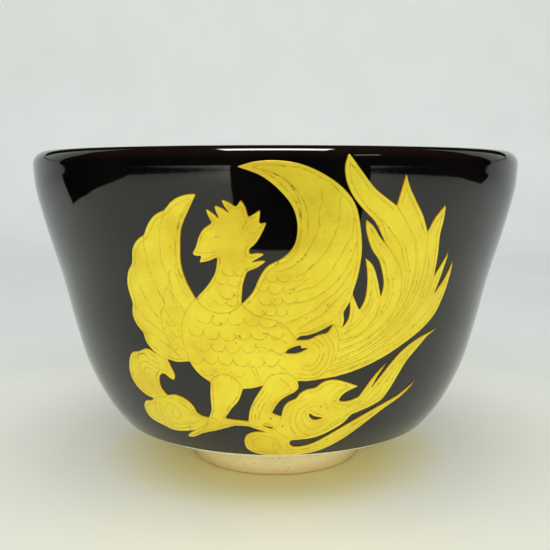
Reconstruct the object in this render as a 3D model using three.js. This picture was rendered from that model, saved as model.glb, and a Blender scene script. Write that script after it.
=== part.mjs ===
// A footed tea bowl: a thrown stoneware body on a foot ring, a black glaze inside and out,
// and a phoenix over clouds laid on the front in raised gold enamel, one field at a time.
// Millimetres, +Z up. The origin is the middle of the foot's resting face, and the painted front
// faces -Y. An ES module that exports one THREE.Group of named meshes.
import * as THREE from "three";
import { TessellateModifier } from "three/addons/modifiers/TessellateModifier.js";
import { mergeVertices } from "three/addons/utils/BufferGeometryUtils.js";

// ---- driving dimensions ----
const RIM_RADIUS = 60.1;
const BOWL_HEIGHT = 78.1;
const GLAZE_LINE_RADIUS = 39.6;
const GLAZE_LINE_HEIGHT = 11.35;
const LIP_ROUND = 3.2; // the outer half of the rounded lip, across and down
const LIP_INNER = 1.8; // the inner half of the lip, across
const LIP_INNER_DROP = 2.4; // the inner half of the lip, down
const WALL_AT_HIP = 7.5;
const WELL_HEIGHT = 15; // the middle of the well above the table
const GLAZE_COAT = 0.5;

const FOOT_HEIGHT = 8.3;
const FOOT_RADIUS = 22.2; // at the resting face
const FOOT_FLARE = 0.6; // how far the foot spreads by the time it meets the body
const FOOT_WALL = 5.3;
const FOOT_CHAMFER = 0.8;

const ENAMEL = 0.35; // thickness of the raised gold
const ENAMEL_CLEARANCE = 0.3; // between the gold and the glaze
const FIELD_GAP = 0.3; // between two fields that meet

// ---- the board on which the gold is drawn flat ----
const BOARD_RADIUS = 55; // a millimetre across the board turns 1/55 radian round the bowl
const BOARD_GLAZE_LINE = 11.45;
const BOARD_RIM = 78.1;

// ---- how finely curves are drawn ----
const RINGS = 36;
const WALL_STEPS = 9;
const HIP_STEP = 3; // the step of the outer wall beside which the well turns in
const LIP_STEPS = 3;
const WELL_STEPS = 5;
const UNDERSIDE_STEPS = 4;
const STROKE_STEP = 2.3;
const LONGEST_EDGE = 4.2;
const SPLITS = 14; // enough halvings for the longest edge of a field

// ---- finishes ----
const CLAY = new THREE.MeshStandardMaterial({ color: 0xd8c9a4, roughness: 0.85, metalness: 0 });
const FOOT_CLAY = new THREE.MeshStandardMaterial({ color: 0xc9b58c, roughness: 0.9, metalness: 0 });
const BLACK_GLAZE = new THREE.MeshStandardMaterial({ color: 0x08080a, roughness: 0.08, metalness: 0 });
const GOLD = new THREE.MeshStandardMaterial({ color: 0xe8d23c, roughness: 0.35, metalness: 0.6 });

const bowl = new THREE.Group();

function addPiece(name, geometry, finish) {
  const mesh = new THREE.Mesh(geometry, finish.clone());
  mesh.name = name;
  bowl.add(mesh);
}

function point(x, y) {
  return new THREE.Vector2(x, y);
}

// ---- turned profiles, as (radius, height) ----

// The outer wall between the glaze line and the lip, as shares of its spread and of its rise:
// full at the hip, drawn in a little at the waist, then opening to an upright lip.
const WALL_SHAPE = [
  [0, 0], [0.112, 0.045], [0.229, 0.102], [0.424, 0.234], [0.566, 0.393],
  [0.702, 0.579], [0.863, 0.76], [0.98, 0.917], [1, 1],
];
const lipBase = BOWL_HEIGHT - LIP_ROUND;
const crestRadius = RIM_RADIUS - LIP_ROUND;
const wallAtLip = LIP_ROUND + LIP_INNER;

const wallCurve = new THREE.SplineCurve(
  WALL_SHAPE.map(([spread, rise]) =>
    point(
      THREE.MathUtils.lerp(GLAZE_LINE_RADIUS, RIM_RADIUS, spread),
      THREE.MathUtils.lerp(GLAZE_LINE_HEIGHT, lipBase, rise),
    ),
  ),
);

// A quarter of an ellipse, from its side to its top.
function quarter(centre, across, up, steps) {
  const points = [];
  for (let i = 0; i <= steps; i += 1) {
    const turn = (i / steps) * (Math.PI / 2);
    points.push(point(centre.x + across * Math.cos(turn), centre.y + up * Math.sin(turn)));
  }
  return points;
}

// The direction of a line at one of its points.
function directionAt(line, i) {
  const before = line[Math.max(i - 1, 0)];
  const after = line[Math.min(i + 1, line.length - 1)];
  return after.clone().sub(before).normalize();
}

// The same line moved to the left of its own travel.
function movedLeft(line, distanceAt) {
  return line.map((at, i) => {
    const along = directionAt(line, i);
    const distance = distanceAt(i / (line.length - 1));
    return point(at.x - along.y * distance, at.y + along.x * distance);
  });
}

const wall = wallCurve.getSpacedPoints(WALL_STEPS);
const lipOutside = quarter(point(crestRadius, lipBase), LIP_ROUND, LIP_ROUND, LIP_STEPS);
const outside = [...wall, ...lipOutside.slice(1)];

// The well follows the wall's thickness down to the hip, then rounds to its middle.
const wellSide = movedLeft(wall, (up) => THREE.MathUtils.lerp(WALL_AT_HIP, wallAtLip, up));
const wellTurn = wellSide[HIP_STEP];
const wellDown = wellTurn.clone().sub(wellSide[HIP_STEP + 1]).normalize();
const wellBottom = new THREE.CubicBezierCurve(
  wellTurn,
  wellTurn.clone().addScaledVector(wellDown, (wellTurn.y - WELL_HEIGHT) * 0.7),
  point(wellTurn.x * 0.5, WELL_HEIGHT),
  point(0, WELL_HEIGHT),
).getPoints(WELL_STEPS);
const lipInside = quarter(
  point(crestRadius, BOWL_HEIGHT - LIP_INNER_DROP),
  -LIP_INNER,
  LIP_INNER_DROP,
  LIP_STEPS,
).reverse();
const inside = [...lipInside, ...wellSide.slice(HIP_STEP + 1, WALL_STEPS).reverse(), ...wellBottom];

// The clay lies one coat under both glazed faces, and the two coats meet along the crest.
const clayOutside = movedLeft(outside, () => GLAZE_COAT);
const clayInside = movedLeft(inside, () => GLAZE_COAT);
const clayCrest = point(crestRadius, BOWL_HEIGHT - GLAZE_COAT);
const glazeCrest = point(crestRadius, BOWL_HEIGHT);
clayOutside[clayOutside.length - 1] = clayCrest;
clayInside[0] = clayCrest;
clayInside[clayInside.length - 1].x = 0;
outside[outside.length - 1] = glazeCrest;
inside[0] = glazeCrest;

const footTopRadius = FOOT_RADIUS + FOOT_FLARE;
const undersideSpread = GLAZE_LINE_RADIUS - footTopRadius;
const undersideRise = clayOutside[0].y - FOOT_HEIGHT;
const underside = new THREE.CubicBezierCurve(
  point(footTopRadius, FOOT_HEIGHT),
  point(footTopRadius + undersideSpread * 0.5, FOOT_HEIGHT + undersideRise * 0.05),
  point(footTopRadius + undersideSpread * 0.85, FOOT_HEIGHT + undersideRise * 0.3),
  clayOutside[0],
).getPoints(UNDERSIDE_STEPS);

// A profile turned about +Z, starting on -Y.
function turned(profile) {
  const geometry = new THREE.LatheGeometry(profile, RINGS);
  geometry.rotateX(Math.PI / 2);
  return geometry;
}

function clayBody() {
  return turned([
    point(0, FOOT_HEIGHT),
    ...underside,
    ...clayOutside.slice(1),
    ...clayInside.slice(1),
  ]);
}

function footRing() {
  const boreRadius = FOOT_RADIUS - FOOT_WALL;
  const start = point(boreRadius + FOOT_CHAMFER, 0);
  return turned([
    start,
    point(FOOT_RADIUS - FOOT_CHAMFER, 0),
    point(FOOT_RADIUS, FOOT_CHAMFER),
    point(footTopRadius, FOOT_HEIGHT),
    point(boreRadius, FOOT_HEIGHT),
    point(boreRadius, FOOT_CHAMFER),
    start,
  ]);
}

// A coat between its face and the clay's face, which both run the same way.
function glazeCoat(face, clayFace) {
  return turned([...face, ...clayFace.slice().reverse(), face[0]]);
}

addPiece("clay_body", clayBody(), CLAY);
addPiece("foot_ring", footRing(), FOOT_CLAY);
addPiece("glaze_outer", glazeCoat(outside, clayOutside), BLACK_GLAZE);
addPiece("glaze_inner", glazeCoat(inside, clayInside), BLACK_GLAZE);

// ---- the gold, drawn flat on the board as (across, up) ----

// A stroke is a smooth line through its points, and two strokes meet at a corner. A field is a
// closed run of strokes with the gold on their left. Where two fields meet, both use one seam,
// and each stops half a gap short of it.
function seam(points) {
  return { points, shared: true };
}

function back(line) {
  return { points: line.points.slice().reverse(), shared: true };
}

const WING_ROOT = seam([[-16.3, 48.4], [-18.6, 45.8], [-20.2, 42.6], [-20.4, 39.4], [-19.8, 36.8], [-19.5, 34.6]]);
const NECK_ROOT = seam([[-16.3, 48.4], [-14.6, 46.5], [-11.8, 45.5], [-9, 45.9], [-6.8, 47.5]]);
const FAR_WING_ROOT = seam([[-6.8, 47.5], [-5, 45.8], [-2.4, 44.7], [0, 44.2], [2, 43], [3.4, 41.4], [4.4, 40]]);
const WING_ON_TAIL_LOW = seam([[12, 43.1], [14.1, 42.4]]);
const WING_ON_TAIL_HIGH = seam([[15.2, 47.6], [15.6, 49.3]]);
const LEFT_THIGH = seam([[-15, 30.3], [-13.6, 31.7], [-11, 32.3], [-8.8, 31.2], [-7.4, 29.1]]);
const RIGHT_THIGH = seam([[-2.8, 30], [-1.5, 32], [1, 32.8], [3.5, 32.4], [5, 31]]);
const CLAWS_CROSS = seam([[-6.8, 20.1], [-6.8, 21.4]]);
const CLAW_ON_CLOUD = seam([[-17, 21.7], [-17.7, 20.4], [-19.6, 19], [-22.1, 17.8]]);
const FOOT_ON_LOW_CLOUD = seam([[-2.5, 18.7], [-1.3, 19], [-0.2, 19.6]]);
const FOOT_ON_RIGHT_CLOUD = seam([[-0.2, 19.6], [0.9, 20.9], [1.4, 22.8]]);
const CLOUD_ON_WING = seam([[-25.1, 34.6], [-26.4, 34.9], [-27.8, 35.6]]);
const LEFT_CLOUDS = seam([[-32.1, 24.5], [-30.6, 25.3], [-28.8, 25.4], [-27.3, 26.1]]);
const RIGHT_CLOUDS = seam([[-0.2, 19.6], [0.9, 18.7], [2.4, 17.5], [4.2, 16.4]]);

// The tail fans out of the rump. Each rump stretch carries one plume, and each rib is the line
// between two plumes, from the rump out to the notch between their tips.
const RUMP = [
  seam([[12, 43.1], [13.2, 41.4], [13.6, 39.6]]),
  seam([[13.6, 39.6], [13.6, 37.4]]),
  seam([[13.6, 37.4], [12.9, 35.4]]),
  seam([[12.9, 35.4], [12, 34]]),
  seam([[12, 34], [10.9, 32.8]]),
  seam([[10.9, 32.8], [9, 31.1]]),
];
const RIB = [
  seam([[13.6, 39.6], [17.8, 40.6], [20.6, 43], [21.8, 46], [22, 48.5]]),
  seam([[13.6, 37.4], [19.5, 39.6], [23.8, 42.6], [26.2, 46.2], [26.7, 50], [25.6, 53.6], [23.4, 56.8],
    [20.9, 59.5]]),
  seam([[12.9, 35.4], [20.4, 38.6], [25.4, 42.6], [28.3, 47], [29.2, 51.5], [28.8, 56], [27.2, 60],
    [24.6, 63.8], [22.2, 66.8]]),
  seam([[12, 34], [19, 36.6], [24.2, 39.8], [28.4, 44], [30.8, 48.5], [31.4, 53], [31, 57.5], [30.3, 61.4]]),
  seam([[10.9, 32.8], [16.5, 34.2], [22, 36.6], [27.4, 40], [31.8, 44.2], [34.3, 48.4], [35, 51.8]]),
];

const NEAR_WING = [
  [[-13.8, 69.1], [-15.5, 69], [-17.5, 68.4], [-19, 67.4], [-20.3, 66]],
  [[-20.3, 66], [-22.4, 65], [-24.2, 63.2], [-25.5, 61]],
  [[-25.5, 61], [-27.2, 60], [-28.8, 58.2], [-29.8, 55]],
  [[-29.8, 55], [-31.5, 53], [-32.5, 50], [-32.1, 46.3]],
  [[-32.1, 46.3], [-32.8, 43.6], [-32.1, 41.6], [-30.6, 40]],
  [[-30.6, 40], [-30.3, 38.2], [-29.2, 36.6], [-27.8, 35.6]],
  back(CLOUD_ON_WING),
  [[-25.1, 34.6], [-22.4, 34.2], [-19.5, 34.6]],
  back(WING_ROOT),
  [[-16.3, 48.4], [-17.7, 51.5], [-18.4, 55], [-18.1, 58.5], [-17.3, 62.5], [-15.5, 66], [-13.8, 69.1]],
];

const HEAD_AND_NECK = [
  NECK_ROOT,
  [[-6.8, 47.5], [-6.3, 51.5], [-5.4, 54.1]],
  [[-5.4, 54.1], [-3.3, 55], [-1.6, 56.3]],
  [[-1.6, 56.3], [-2.8, 56.4], [-4.5, 56]],
  [[-4.5, 56], [-3, 56.9], [-1.9, 57.6]],
  [[-1.9, 57.6], [-3.2, 57.9], [-4.8, 57.6]],
  [[-4.8, 57.6], [-4.9, 58.5]],
  [[-4.9, 58.5], [-3.6, 59.7], [-2.6, 61.3], [-1.5, 63.8]],
  [[-1.5, 63.8], [-2.9, 63.5]],
  [[-2.9, 63.5], [-2.6, 66.2]],
  [[-2.6, 66.2], [-4.8, 64.7]],
  [[-4.8, 64.7], [-5.2, 66.6], [-6, 68.1]],
  [[-6, 68.1], [-6.9, 66.6]],
  [[-6.9, 66.6], [-8, 67.5], [-9.5, 68.1]],
  [[-9.5, 68.1], [-8.9, 66.6], [-8.1, 65.5]],
  [[-8.1, 65.5], [-9.4, 66.5], [-10.8, 67]],
  [[-10.8, 67], [-10.5, 65.6], [-10, 64.4]],
  [[-10, 64.4], [-11.2, 65.6], [-12.4, 66.4]],
  [[-12.4, 66.4], [-12, 64.9], [-11.4, 63.6]],
  [[-11.4, 63.6], [-13.2, 62.4], [-14.4, 60.4], [-15, 58.8], [-15.9, 57.5]],
  [[-15.9, 57.5], [-15.2, 57], [-14, 57.2]],
  [[-14, 57.2], [-14.7, 55.7]],
  [[-14.7, 55.7], [-13, 56], [-10.9, 56.9]],
  [[-10.9, 56.9], [-11.8, 53.6], [-13.8, 50.8], [-16.3, 48.4]],
];

const FAR_WING = [
  FAR_WING_ROOT,
  [[4.4, 40], [5, 40.7], [6.8, 40.9], [9.5, 41.8], [12, 43.1]],
  WING_ON_TAIL_LOW,
  [[14.1, 42.4], [14.4, 44], [14, 45.4]],
  [[14, 45.4], [15.2, 47.6]],
  WING_ON_TAIL_HIGH,
  [[15.6, 49.3], [16.3, 53.2], [16.4, 58], [15.5, 63], [14.2, 67], [12, 69.9], [8.5, 72.6], [4.5, 74.5],
    [0.5, 75.2], [-3.5, 75], [-6.7, 74.1]],
  [[-6.7, 74.1], [-2.5, 72.4], [0.8, 69.6], [3.1, 66.3], [3.9, 62.5], [3.3, 59.2], [1.3, 56.9], [-1.5, 55.3],
    [-3, 53.2], [-4.5, 50], [-6.8, 47.5]],
];

const BREAST = [
  WING_ROOT,
  [[-19.5, 34.6], [-18.5, 33], [-17, 31.5], [-15, 30.3]],
  LEFT_THIGH,
  [[-7.4, 29.1], [-5, 29.4], [-2.8, 30]],
  RIGHT_THIGH,
  [[5, 31], [7, 30.9], [9, 31.1]],
  ...RUMP.slice().reverse().map(back),
  [[12, 43.1], [10.9, 41.3]],
  [[10.9, 41.3], [9, 41], [7, 40.1], [4.4, 40]],
  back(FAR_WING_ROOT),
  back(NECK_ROOT),
];
const BREAST_SLIT = [
  [[2, 37.2], [3.2, 38.2], [5.5, 38.9]],
  [[5.5, 38.9], [5.2, 38.1]],
  [[5.2, 38.1], [7, 38.2]],
  [[7, 38.2], [4.6, 37.2], [2, 37.2]],
];

// From the short inner plume beside the far wing out to the broad one that sweeps underneath.
const PLUMES = [
  [
    RIB[0],
    [[22, 48.5], [20.6, 52.2], [19, 55.2], [17.2, 56.7]],
    [[17.2, 56.7], [18.1, 53.5], [18.5, 50.5], [18.4, 48], [17.5, 45.8]],
    [[17.5, 45.8], [15.6, 49.3]],
    back(WING_ON_TAIL_HIGH),
    [[15.2, 47.6], [15.4, 45.6], [15.1, 43.8], [14.1, 42.4]],
    back(WING_ON_TAIL_LOW),
    RUMP[0],
  ],
  [
    RIB[1],
    [[20.9, 59.5], [19.5, 61], [18.2, 62.8], [16.4, 64.3]],
    [[16.4, 64.3], [16.7, 62], [18.4, 58.2], [20.2, 56], [21.5, 53.2], [22.2, 50.8], [22, 48.5]],
    back(RIB[0]),
    RUMP[1],
  ],
  [
    RIB[2],
    [[22.2, 66.8], [20, 68.3], [17.5, 70.2], [15, 73.3], [12.6, 76.6]],
    [[12.6, 76.6], [11.9, 74.5], [12.2, 71.5], [13.5, 68.7], [15.6, 66.2], [18.2, 63.7], [20.9, 59.5]],
    back(RIB[1]),
    RUMP[2],
  ],
  [
    RIB[3],
    [[30.3, 61.4], [28.5, 64.6], [26, 68], [24.4, 70.6], [23.6, 72.9]],
    [[23.6, 72.9], [22.8, 70], [22.2, 66.8]],
    back(RIB[2]),
    RUMP[3],
  ],
  [
    RIB[4],
    [[35, 51.8], [34.6, 56], [33.8, 60.5], [33.9, 64], [33.6, 66.8]],
    [[33.6, 66.8], [31.6, 64.3], [30.3, 61.4]],
    back(RIB[3]),
    RUMP[4],
  ],
  [
    [[9, 31.1], [14, 31.7], [19, 32.9], [25, 35.1], [30, 37.6], [35, 40.5], [38.2, 43.5], [39.8, 47.5],
      [40.2, 51], [39.9, 54.9]],
    [[39.9, 54.9], [38.9, 51.5], [36.4, 47.8]],
    [[36.4, 47.8], [37.2, 52], [37.7, 57]],
    [[37.7, 57], [36.3, 54.2], [35, 51.8]],
    back(RIB[4]),
    RUMP[5],
  ],
];

const LEFT_LEG = [
  [[-15, 30.3], [-15.5, 27], [-15.9, 23.6], [-17, 21.7]],
  CLAW_ON_CLOUD,
  [[-22.1, 17.8], [-23.9, 17], [-25.6, 15.7]],
  [[-25.6, 15.7], [-23.5, 15.8], [-20, 17.2], [-15, 18.6], [-10.3, 20.1]],
  [[-10.3, 20.1], [-6.8, 20.1]],
  CLAWS_CROSS,
  [[-6.8, 21.4], [-12.6, 21.8]],
  [[-12.6, 21.8], [-10.5, 24.4], [-8.6, 26.4], [-7.4, 29.1]],
  back(LEFT_THIGH),
];

const RIGHT_LEG = [
  [[-2.8, 30], [-4.8, 27], [-6.2, 24.2], [-6.8, 21.4]],
  back(CLAWS_CROSS),
  [[-6.8, 20.1], [-5.2, 19.5], [-2.5, 18.7]],
  FOOT_ON_LOW_CLOUD,
  FOOT_ON_RIGHT_CLOUD,
  [[1.4, 22.8], [-0.9, 23.6]],
  [[-0.9, 23.6], [0.9, 26.3], [2.6, 27.6], [4.6, 28.6], [5.3, 29.5], [5, 31]],
  back(RIGHT_THIGH),
];

const UPPER_LEFT_CLOUD = [
  [[-27.8, 35.6], [-30.4, 36.5], [-33, 35.6]],
  [[-33, 35.6], [-35.6, 34.9], [-37.2, 32.8], [-38, 29.8], [-37, 27], [-34.8, 25.3], [-32.1, 24.5]],
  LEFT_CLOUDS,
  [[-27.3, 26.1], [-28.4, 27.4], [-28.7, 29], [-28.1, 30.6], [-26.8, 31.2], [-25.6, 30.4], [-24.4, 29.8]],
  [[-24.4, 29.8], [-23.8, 31], [-24.4, 32.8], [-25.1, 34.6]],
  CLOUD_ON_WING,
];

const LOWER_LEFT_CLOUD = [
  [[-32.1, 24.5], [-33.2, 24]],
  [[-33.2, 24], [-35.6, 23.5], [-37.2, 21.5], [-36.8, 19.2], [-34.5, 18.1], [-32.5, 17.6]],
  [[-32.5, 17.6], [-30, 16.9], [-26.5, 17], [-22.1, 17.8]],
  back(CLAW_ON_CLOUD),
  [[-17, 21.7], [-18.6, 21.9], [-20, 22.6]],
  [[-20, 22.6], [-20.5, 24.2], [-22, 25.6], [-24.6, 26.5], [-27.3, 26.1]],
  back(LEFT_CLOUDS),
];

const RIGHT_CLOUD = [
  back(FOOT_ON_RIGHT_CLOUD),
  RIGHT_CLOUDS,
  [[4.2, 16.4], [8, 16.6], [11.5, 17.2], [14.5, 18.4], [17.8, 20.4], [19.2, 22.2]],
  [[19.2, 22.2], [22, 23], [25, 24], [27, 25], [28.3, 26.8], [30, 30], [32, 33.4], [34.5, 36], [37.3, 38.6]],
  [[37.3, 38.6], [40.4, 39.9]],
  [[40.4, 39.9], [36.5, 39], [33, 37.8], [29.5, 35.6], [27, 33], [25, 30.6], [23, 28.2]],
  [[23, 28.2], [24.6, 31.3], [26.3, 33.8]],
  [[26.3, 33.8], [23.5, 31.2], [21.6, 28.6], [20.2, 26.4]],
  [[20.2, 26.4], [17.5, 25.7], [15.2, 25.9]],
  [[15.2, 25.9], [15.6, 27], [17.2, 28.1], [19.8, 29]],
  [[19.8, 29], [16.2, 30.3], [13.5, 31], [11, 30.7], [9, 29.3]],
  [[9, 29.3], [7.2, 29.1], [5.6, 28.2], [4.8, 27]],
  [[4.8, 27], [3, 26.3], [1.9, 25], [1.4, 22.8]],
];
const RIGHT_CLOUD_EYE = [
  [[8.1, 23.4], [9.6, 22.5], [11.9, 22]],
  [[11.9, 22], [9.9, 21.6], [8.7, 22.1], [8.1, 23.4]],
];

const LOW_CLOUD = [
  [[-2.5, 18.7], [-5.4, 18.7], [-7.6, 17.8], [-8.6, 15.8], [-8.3, 13.9]],
  [[-8.3, 13.9], [-6.5, 12.8], [-3.5, 12.1], [2, 11.9], [8, 12.1], [13, 13], [17.5, 15], [21.5, 17.6],
    [25.5, 20.5], [29, 22.8], [33, 24.9], [35.5, 26.9], [36.9, 28.4]],
  [[36.9, 28.4], [34.5, 26.8], [32, 25.4], [28, 23.9], [23, 21.8], [18.5, 19.6], [15, 17.7], [11.5, 15.8],
    [8.8, 14.8], [6, 14.5], [4.6, 14.7], [3.8, 15.5], [4.2, 16.4]],
  back(RIGHT_CLOUDS),
  back(FOOT_ON_LOW_CLOUD),
];

// ---- drawing a field and laying it on the bowl ----

function smoothLine(points) {
  const curve = new THREE.CatmullRomCurve3(points.map(([x, y]) => new THREE.Vector3(x, y, 0)));
  const steps = Math.max(1, Math.round(curve.getLength() / STROKE_STEP));
  return curve.getSpacedPoints(steps).map((at) => point(at.x, at.y));
}

// The corner where two seams meet, half a gap in from both.
function seamCorner(arriving, leaving) {
  const corner = arriving[arriving.length - 1];
  const first = directionAt(arriving, arriving.length - 1);
  const second = directionAt(leaving, 0);
  const inward = point(-first.y - second.y, first.x + second.x);
  const reach = FIELD_GAP / 2 / (1 + first.dot(second));
  return corner.clone().addScaledVector(inward, reach);
}

// A closed outline from its strokes. A seam's own ends stand for the corners beside it.
function outlineOf(strokes) {
  const lines = strokes.map((stroke) => ({
    line: smoothLine(stroke.points ?? stroke),
    shared: stroke.shared === true,
  }));
  return lines.flatMap(({ line, shared }, i) => {
    const before = lines.at(i - 1);
    const next = lines[(i + 1) % lines.length];
    if (!shared) return before.shared ? line.slice(1, -1) : line.slice(0, -1);
    const moved = movedLeft(line, () => FIELD_GAP / 2);
    if (before.shared) moved[0] = seamCorner(before.line, line);
    return next.shared ? moved.slice(0, -1) : moved;
  });
}

// The outer glaze at a height: its radius and which way it faces.
function faceAt(height) {
  const top = outside.findIndex((ring) => ring.y >= height);
  const upper = top < 1 ? (top === 0 ? 1 : outside.length - 1) : top;
  const low = outside[upper - 1];
  const high = outside[upper];
  const share = (height - low.y) / (high.y - low.y);
  const along = directionAt(outside, upper - 1).lerp(directionAt(outside, upper), share).normalize();
  return { radius: THREE.MathUtils.lerp(low.x, high.x, share), along };
}

function wrapOnBowl(geometry) {
  const places = geometry.attributes.position;
  const rise = (BOWL_HEIGHT - GLAZE_LINE_HEIGHT) / (BOARD_RIM - BOARD_GLAZE_LINE);
  for (let i = 0; i < places.count; i += 1) {
    const height = GLAZE_LINE_HEIGHT + (places.getY(i) - BOARD_GLAZE_LINE) * rise;
    const { radius, along } = faceAt(height);
    const lift = ENAMEL_CLEARANCE + places.getZ(i);
    const reach = radius + along.y * lift;
    const turn = places.getX(i) / BOARD_RADIUS;
    places.setXYZ(i, reach * Math.sin(turn), -reach * Math.cos(turn), height - along.x * lift);
  }
  geometry.computeVertexNormals();
  return geometry;
}

function goldField(name, strokes, slits = []) {
  const shape = new THREE.Shape(outlineOf(strokes));
  shape.holes = slits.map((slit) => new THREE.Path(outlineOf(slit)));
  const plate = new THREE.ExtrudeGeometry(shape, { depth: ENAMEL, bevelEnabled: false });
  plate.deleteAttribute("normal");
  plate.deleteAttribute("uv");
  const fine = mergeVertices(new TessellateModifier(LONGEST_EDGE, SPLITS).modify(plate));
  addPiece(name, wrapOnBowl(fine), GOLD);
}

goldField("gold_near_wing", NEAR_WING);
goldField("gold_head_and_neck", HEAD_AND_NECK);
goldField("gold_far_wing", FAR_WING);
goldField("gold_breast", BREAST, [BREAST_SLIT]);
PLUMES.forEach((plume, i) => goldField(`gold_tail_plume_${i + 1}`, plume));
goldField("gold_left_leg", LEFT_LEG);
goldField("gold_right_leg", RIGHT_LEG);
goldField("gold_cloud_upper_left", UPPER_LEFT_CLOUD);
goldField("gold_cloud_lower_left", LOWER_LEFT_CLOUD);
goldField("gold_cloud_right", RIGHT_CLOUD, [RIGHT_CLOUD_EYE]);
goldField("gold_cloud_low", LOW_CLOUD);

export default bowl;
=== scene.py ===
# %% [markdown]
# # A footed tea bowl with a gold phoenix
# The bowl is thrown stoneware on a turned foot ring. It was poured with black glaze inside and
# dipped in black glaze outside, and a phoenix over clouds was laid on its front in raised gold.
# The frame holds every piece at its real size, so it is loaded first and nothing in it moves.

# %% Load the frame
import math
from collections import namedtuple

import bmesh
import bpy
import numpy as np
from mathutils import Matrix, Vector, kdtree, noise
from mathutils.geometry import delaunay_2d_cdt


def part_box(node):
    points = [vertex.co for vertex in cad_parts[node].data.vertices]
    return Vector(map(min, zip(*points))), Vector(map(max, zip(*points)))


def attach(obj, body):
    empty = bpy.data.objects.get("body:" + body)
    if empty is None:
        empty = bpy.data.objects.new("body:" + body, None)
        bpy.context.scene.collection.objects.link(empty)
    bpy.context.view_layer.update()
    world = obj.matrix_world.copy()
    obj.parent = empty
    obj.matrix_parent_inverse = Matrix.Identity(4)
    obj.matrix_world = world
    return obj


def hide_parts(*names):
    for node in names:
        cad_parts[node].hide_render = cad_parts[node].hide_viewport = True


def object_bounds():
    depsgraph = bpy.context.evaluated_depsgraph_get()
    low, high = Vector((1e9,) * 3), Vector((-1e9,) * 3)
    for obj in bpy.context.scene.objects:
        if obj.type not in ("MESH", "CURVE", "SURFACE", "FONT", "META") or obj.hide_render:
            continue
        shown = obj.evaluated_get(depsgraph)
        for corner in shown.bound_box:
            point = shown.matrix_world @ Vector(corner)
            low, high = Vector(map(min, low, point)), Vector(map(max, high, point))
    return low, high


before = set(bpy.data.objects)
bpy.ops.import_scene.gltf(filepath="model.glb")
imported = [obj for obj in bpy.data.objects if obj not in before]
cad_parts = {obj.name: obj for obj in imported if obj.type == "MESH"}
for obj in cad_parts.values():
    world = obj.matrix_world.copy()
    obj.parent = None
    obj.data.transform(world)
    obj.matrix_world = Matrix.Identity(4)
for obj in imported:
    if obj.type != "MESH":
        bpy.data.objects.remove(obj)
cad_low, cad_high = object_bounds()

MM = 0.001  # sizes below are in millimetres, and Blender's are in metres
noise.seed_set(5)  # without it, vector noise differs from run to run
print("CAD box in mm:", [round(v / MM, 1) for v in (*cad_low, *cad_high)])

# %% [markdown]
# ## The camera
# A small bowl is looked at from near by, a little below its rim, so the lip hides the well and
# the front wall fills the view. Near by, the lens matters: it sets how much the rim bends.

# %% Camera
CAMERA_BACK = 207.6  # from the middle of the bowl
CAMERA_HEIGHT = 72.7
CAMERA_PITCH = 7.24  # degrees below level
LENS = 52.03

camera_data = bpy.data.cameras.new("camera")
camera_data.lens = LENS
camera_data.sensor_width = 36
camera_data.clip_start = 0.01
camera = bpy.data.objects.new("camera", camera_data)
camera.location = (-0.1 * MM, -CAMERA_BACK * MM, CAMERA_HEIGHT * MM)
camera.rotation_euler = (math.radians(90 - CAMERA_PITCH), 0, 0)
bpy.context.scene.collection.objects.link(camera)
bpy.context.scene.camera = camera
print("camera", tuple(round(c, 4) for c in camera.location))

# %% [markdown]
# ## Material helpers
# Every finish is a small node graph. A few helpers keep the graphs short: they add a node with
# its sockets, spread a noise over the piece's own coordinates, turn a value into colours, mix
# two colours, move a value to another range, and add fine relief.


# %% Node helpers
def new_finish(name):
    """A material with an empty graph, its nodes, and the shader that ends it."""
    finish = bpy.data.materials.new(name)
    finish.use_nodes = True
    tree = finish.node_tree
    tree.nodes.clear()
    shader = tree.nodes.new("ShaderNodeBsdfPrincipled")
    output = tree.nodes.new("ShaderNodeOutputMaterial")
    tree.links.new(shader.outputs["BSDF"], output.inputs["Surface"])
    return finish, tree, shader


def add_node(tree, kind, values=None, links=None, **settings):
    """A node with its settings, socket values and incoming links."""
    node = tree.nodes.new(kind)
    for key, value in settings.items():
        setattr(node, key, value)
    for key, value in (values or {}).items():
        node.inputs[key].default_value = value
    for key, source in (links or {}).items():
        tree.links.new(source, node.inputs[key])
    return node


def own_place(tree):
    """The piece's own coordinates."""
    return add_node(tree, "ShaderNodeTexCoord").outputs["Object"]


def own_axis(tree, axis):
    """One of the piece's own coordinates, by its letter."""
    return add_node(tree, "ShaderNodeSeparateXYZ", links={"Vector": own_place(tree)}).outputs[axis]


def object_noise(tree, scale, detail=3, roughness=0.5, stretch=(1, 1, 1)):
    """Noise over the piece's own coordinates. A scale of 1000 has lumps about 1 mm across."""
    place = own_place(tree)
    turned = add_node(tree, "ShaderNodeMapping", {"Scale": stretch}, {"Vector": place})
    return add_node(
        tree,
        "ShaderNodeTexNoise",
        {"Scale": scale, "Detail": detail, "Roughness": roughness},
        {"Vector": turned.outputs["Vector"]},
    ).outputs["Fac"]


def ramp(tree, value, stops):
    """Colours along a value, as (place, colour) stops."""
    node = add_node(tree, "ShaderNodeValToRGB", links={"Fac": value})
    elements = node.color_ramp.elements
    while len(elements) < len(stops):
        elements.new(0.5)
    for element, (place, colour) in zip(elements, stops):
        element.position = place
        element.color = (*colour, 1) if len(colour) == 3 else colour
    return node.outputs["Color"]


def mix(tree, share, first, second):
    """A colour between two, by a share that is a number or a socket."""
    node = tree.nodes.new("ShaderNodeMix")
    node.data_type = "RGBA"
    pairs = ((node.inputs[0], share), (node.inputs[6], first), (node.inputs[7], second))
    for socket, value in pairs:
        if isinstance(value, bpy.types.NodeSocket):
            tree.links.new(value, socket)
        else:
            socket.default_value = value if socket is node.inputs[0] else (*value, 1)
    return node.outputs[2]


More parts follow.
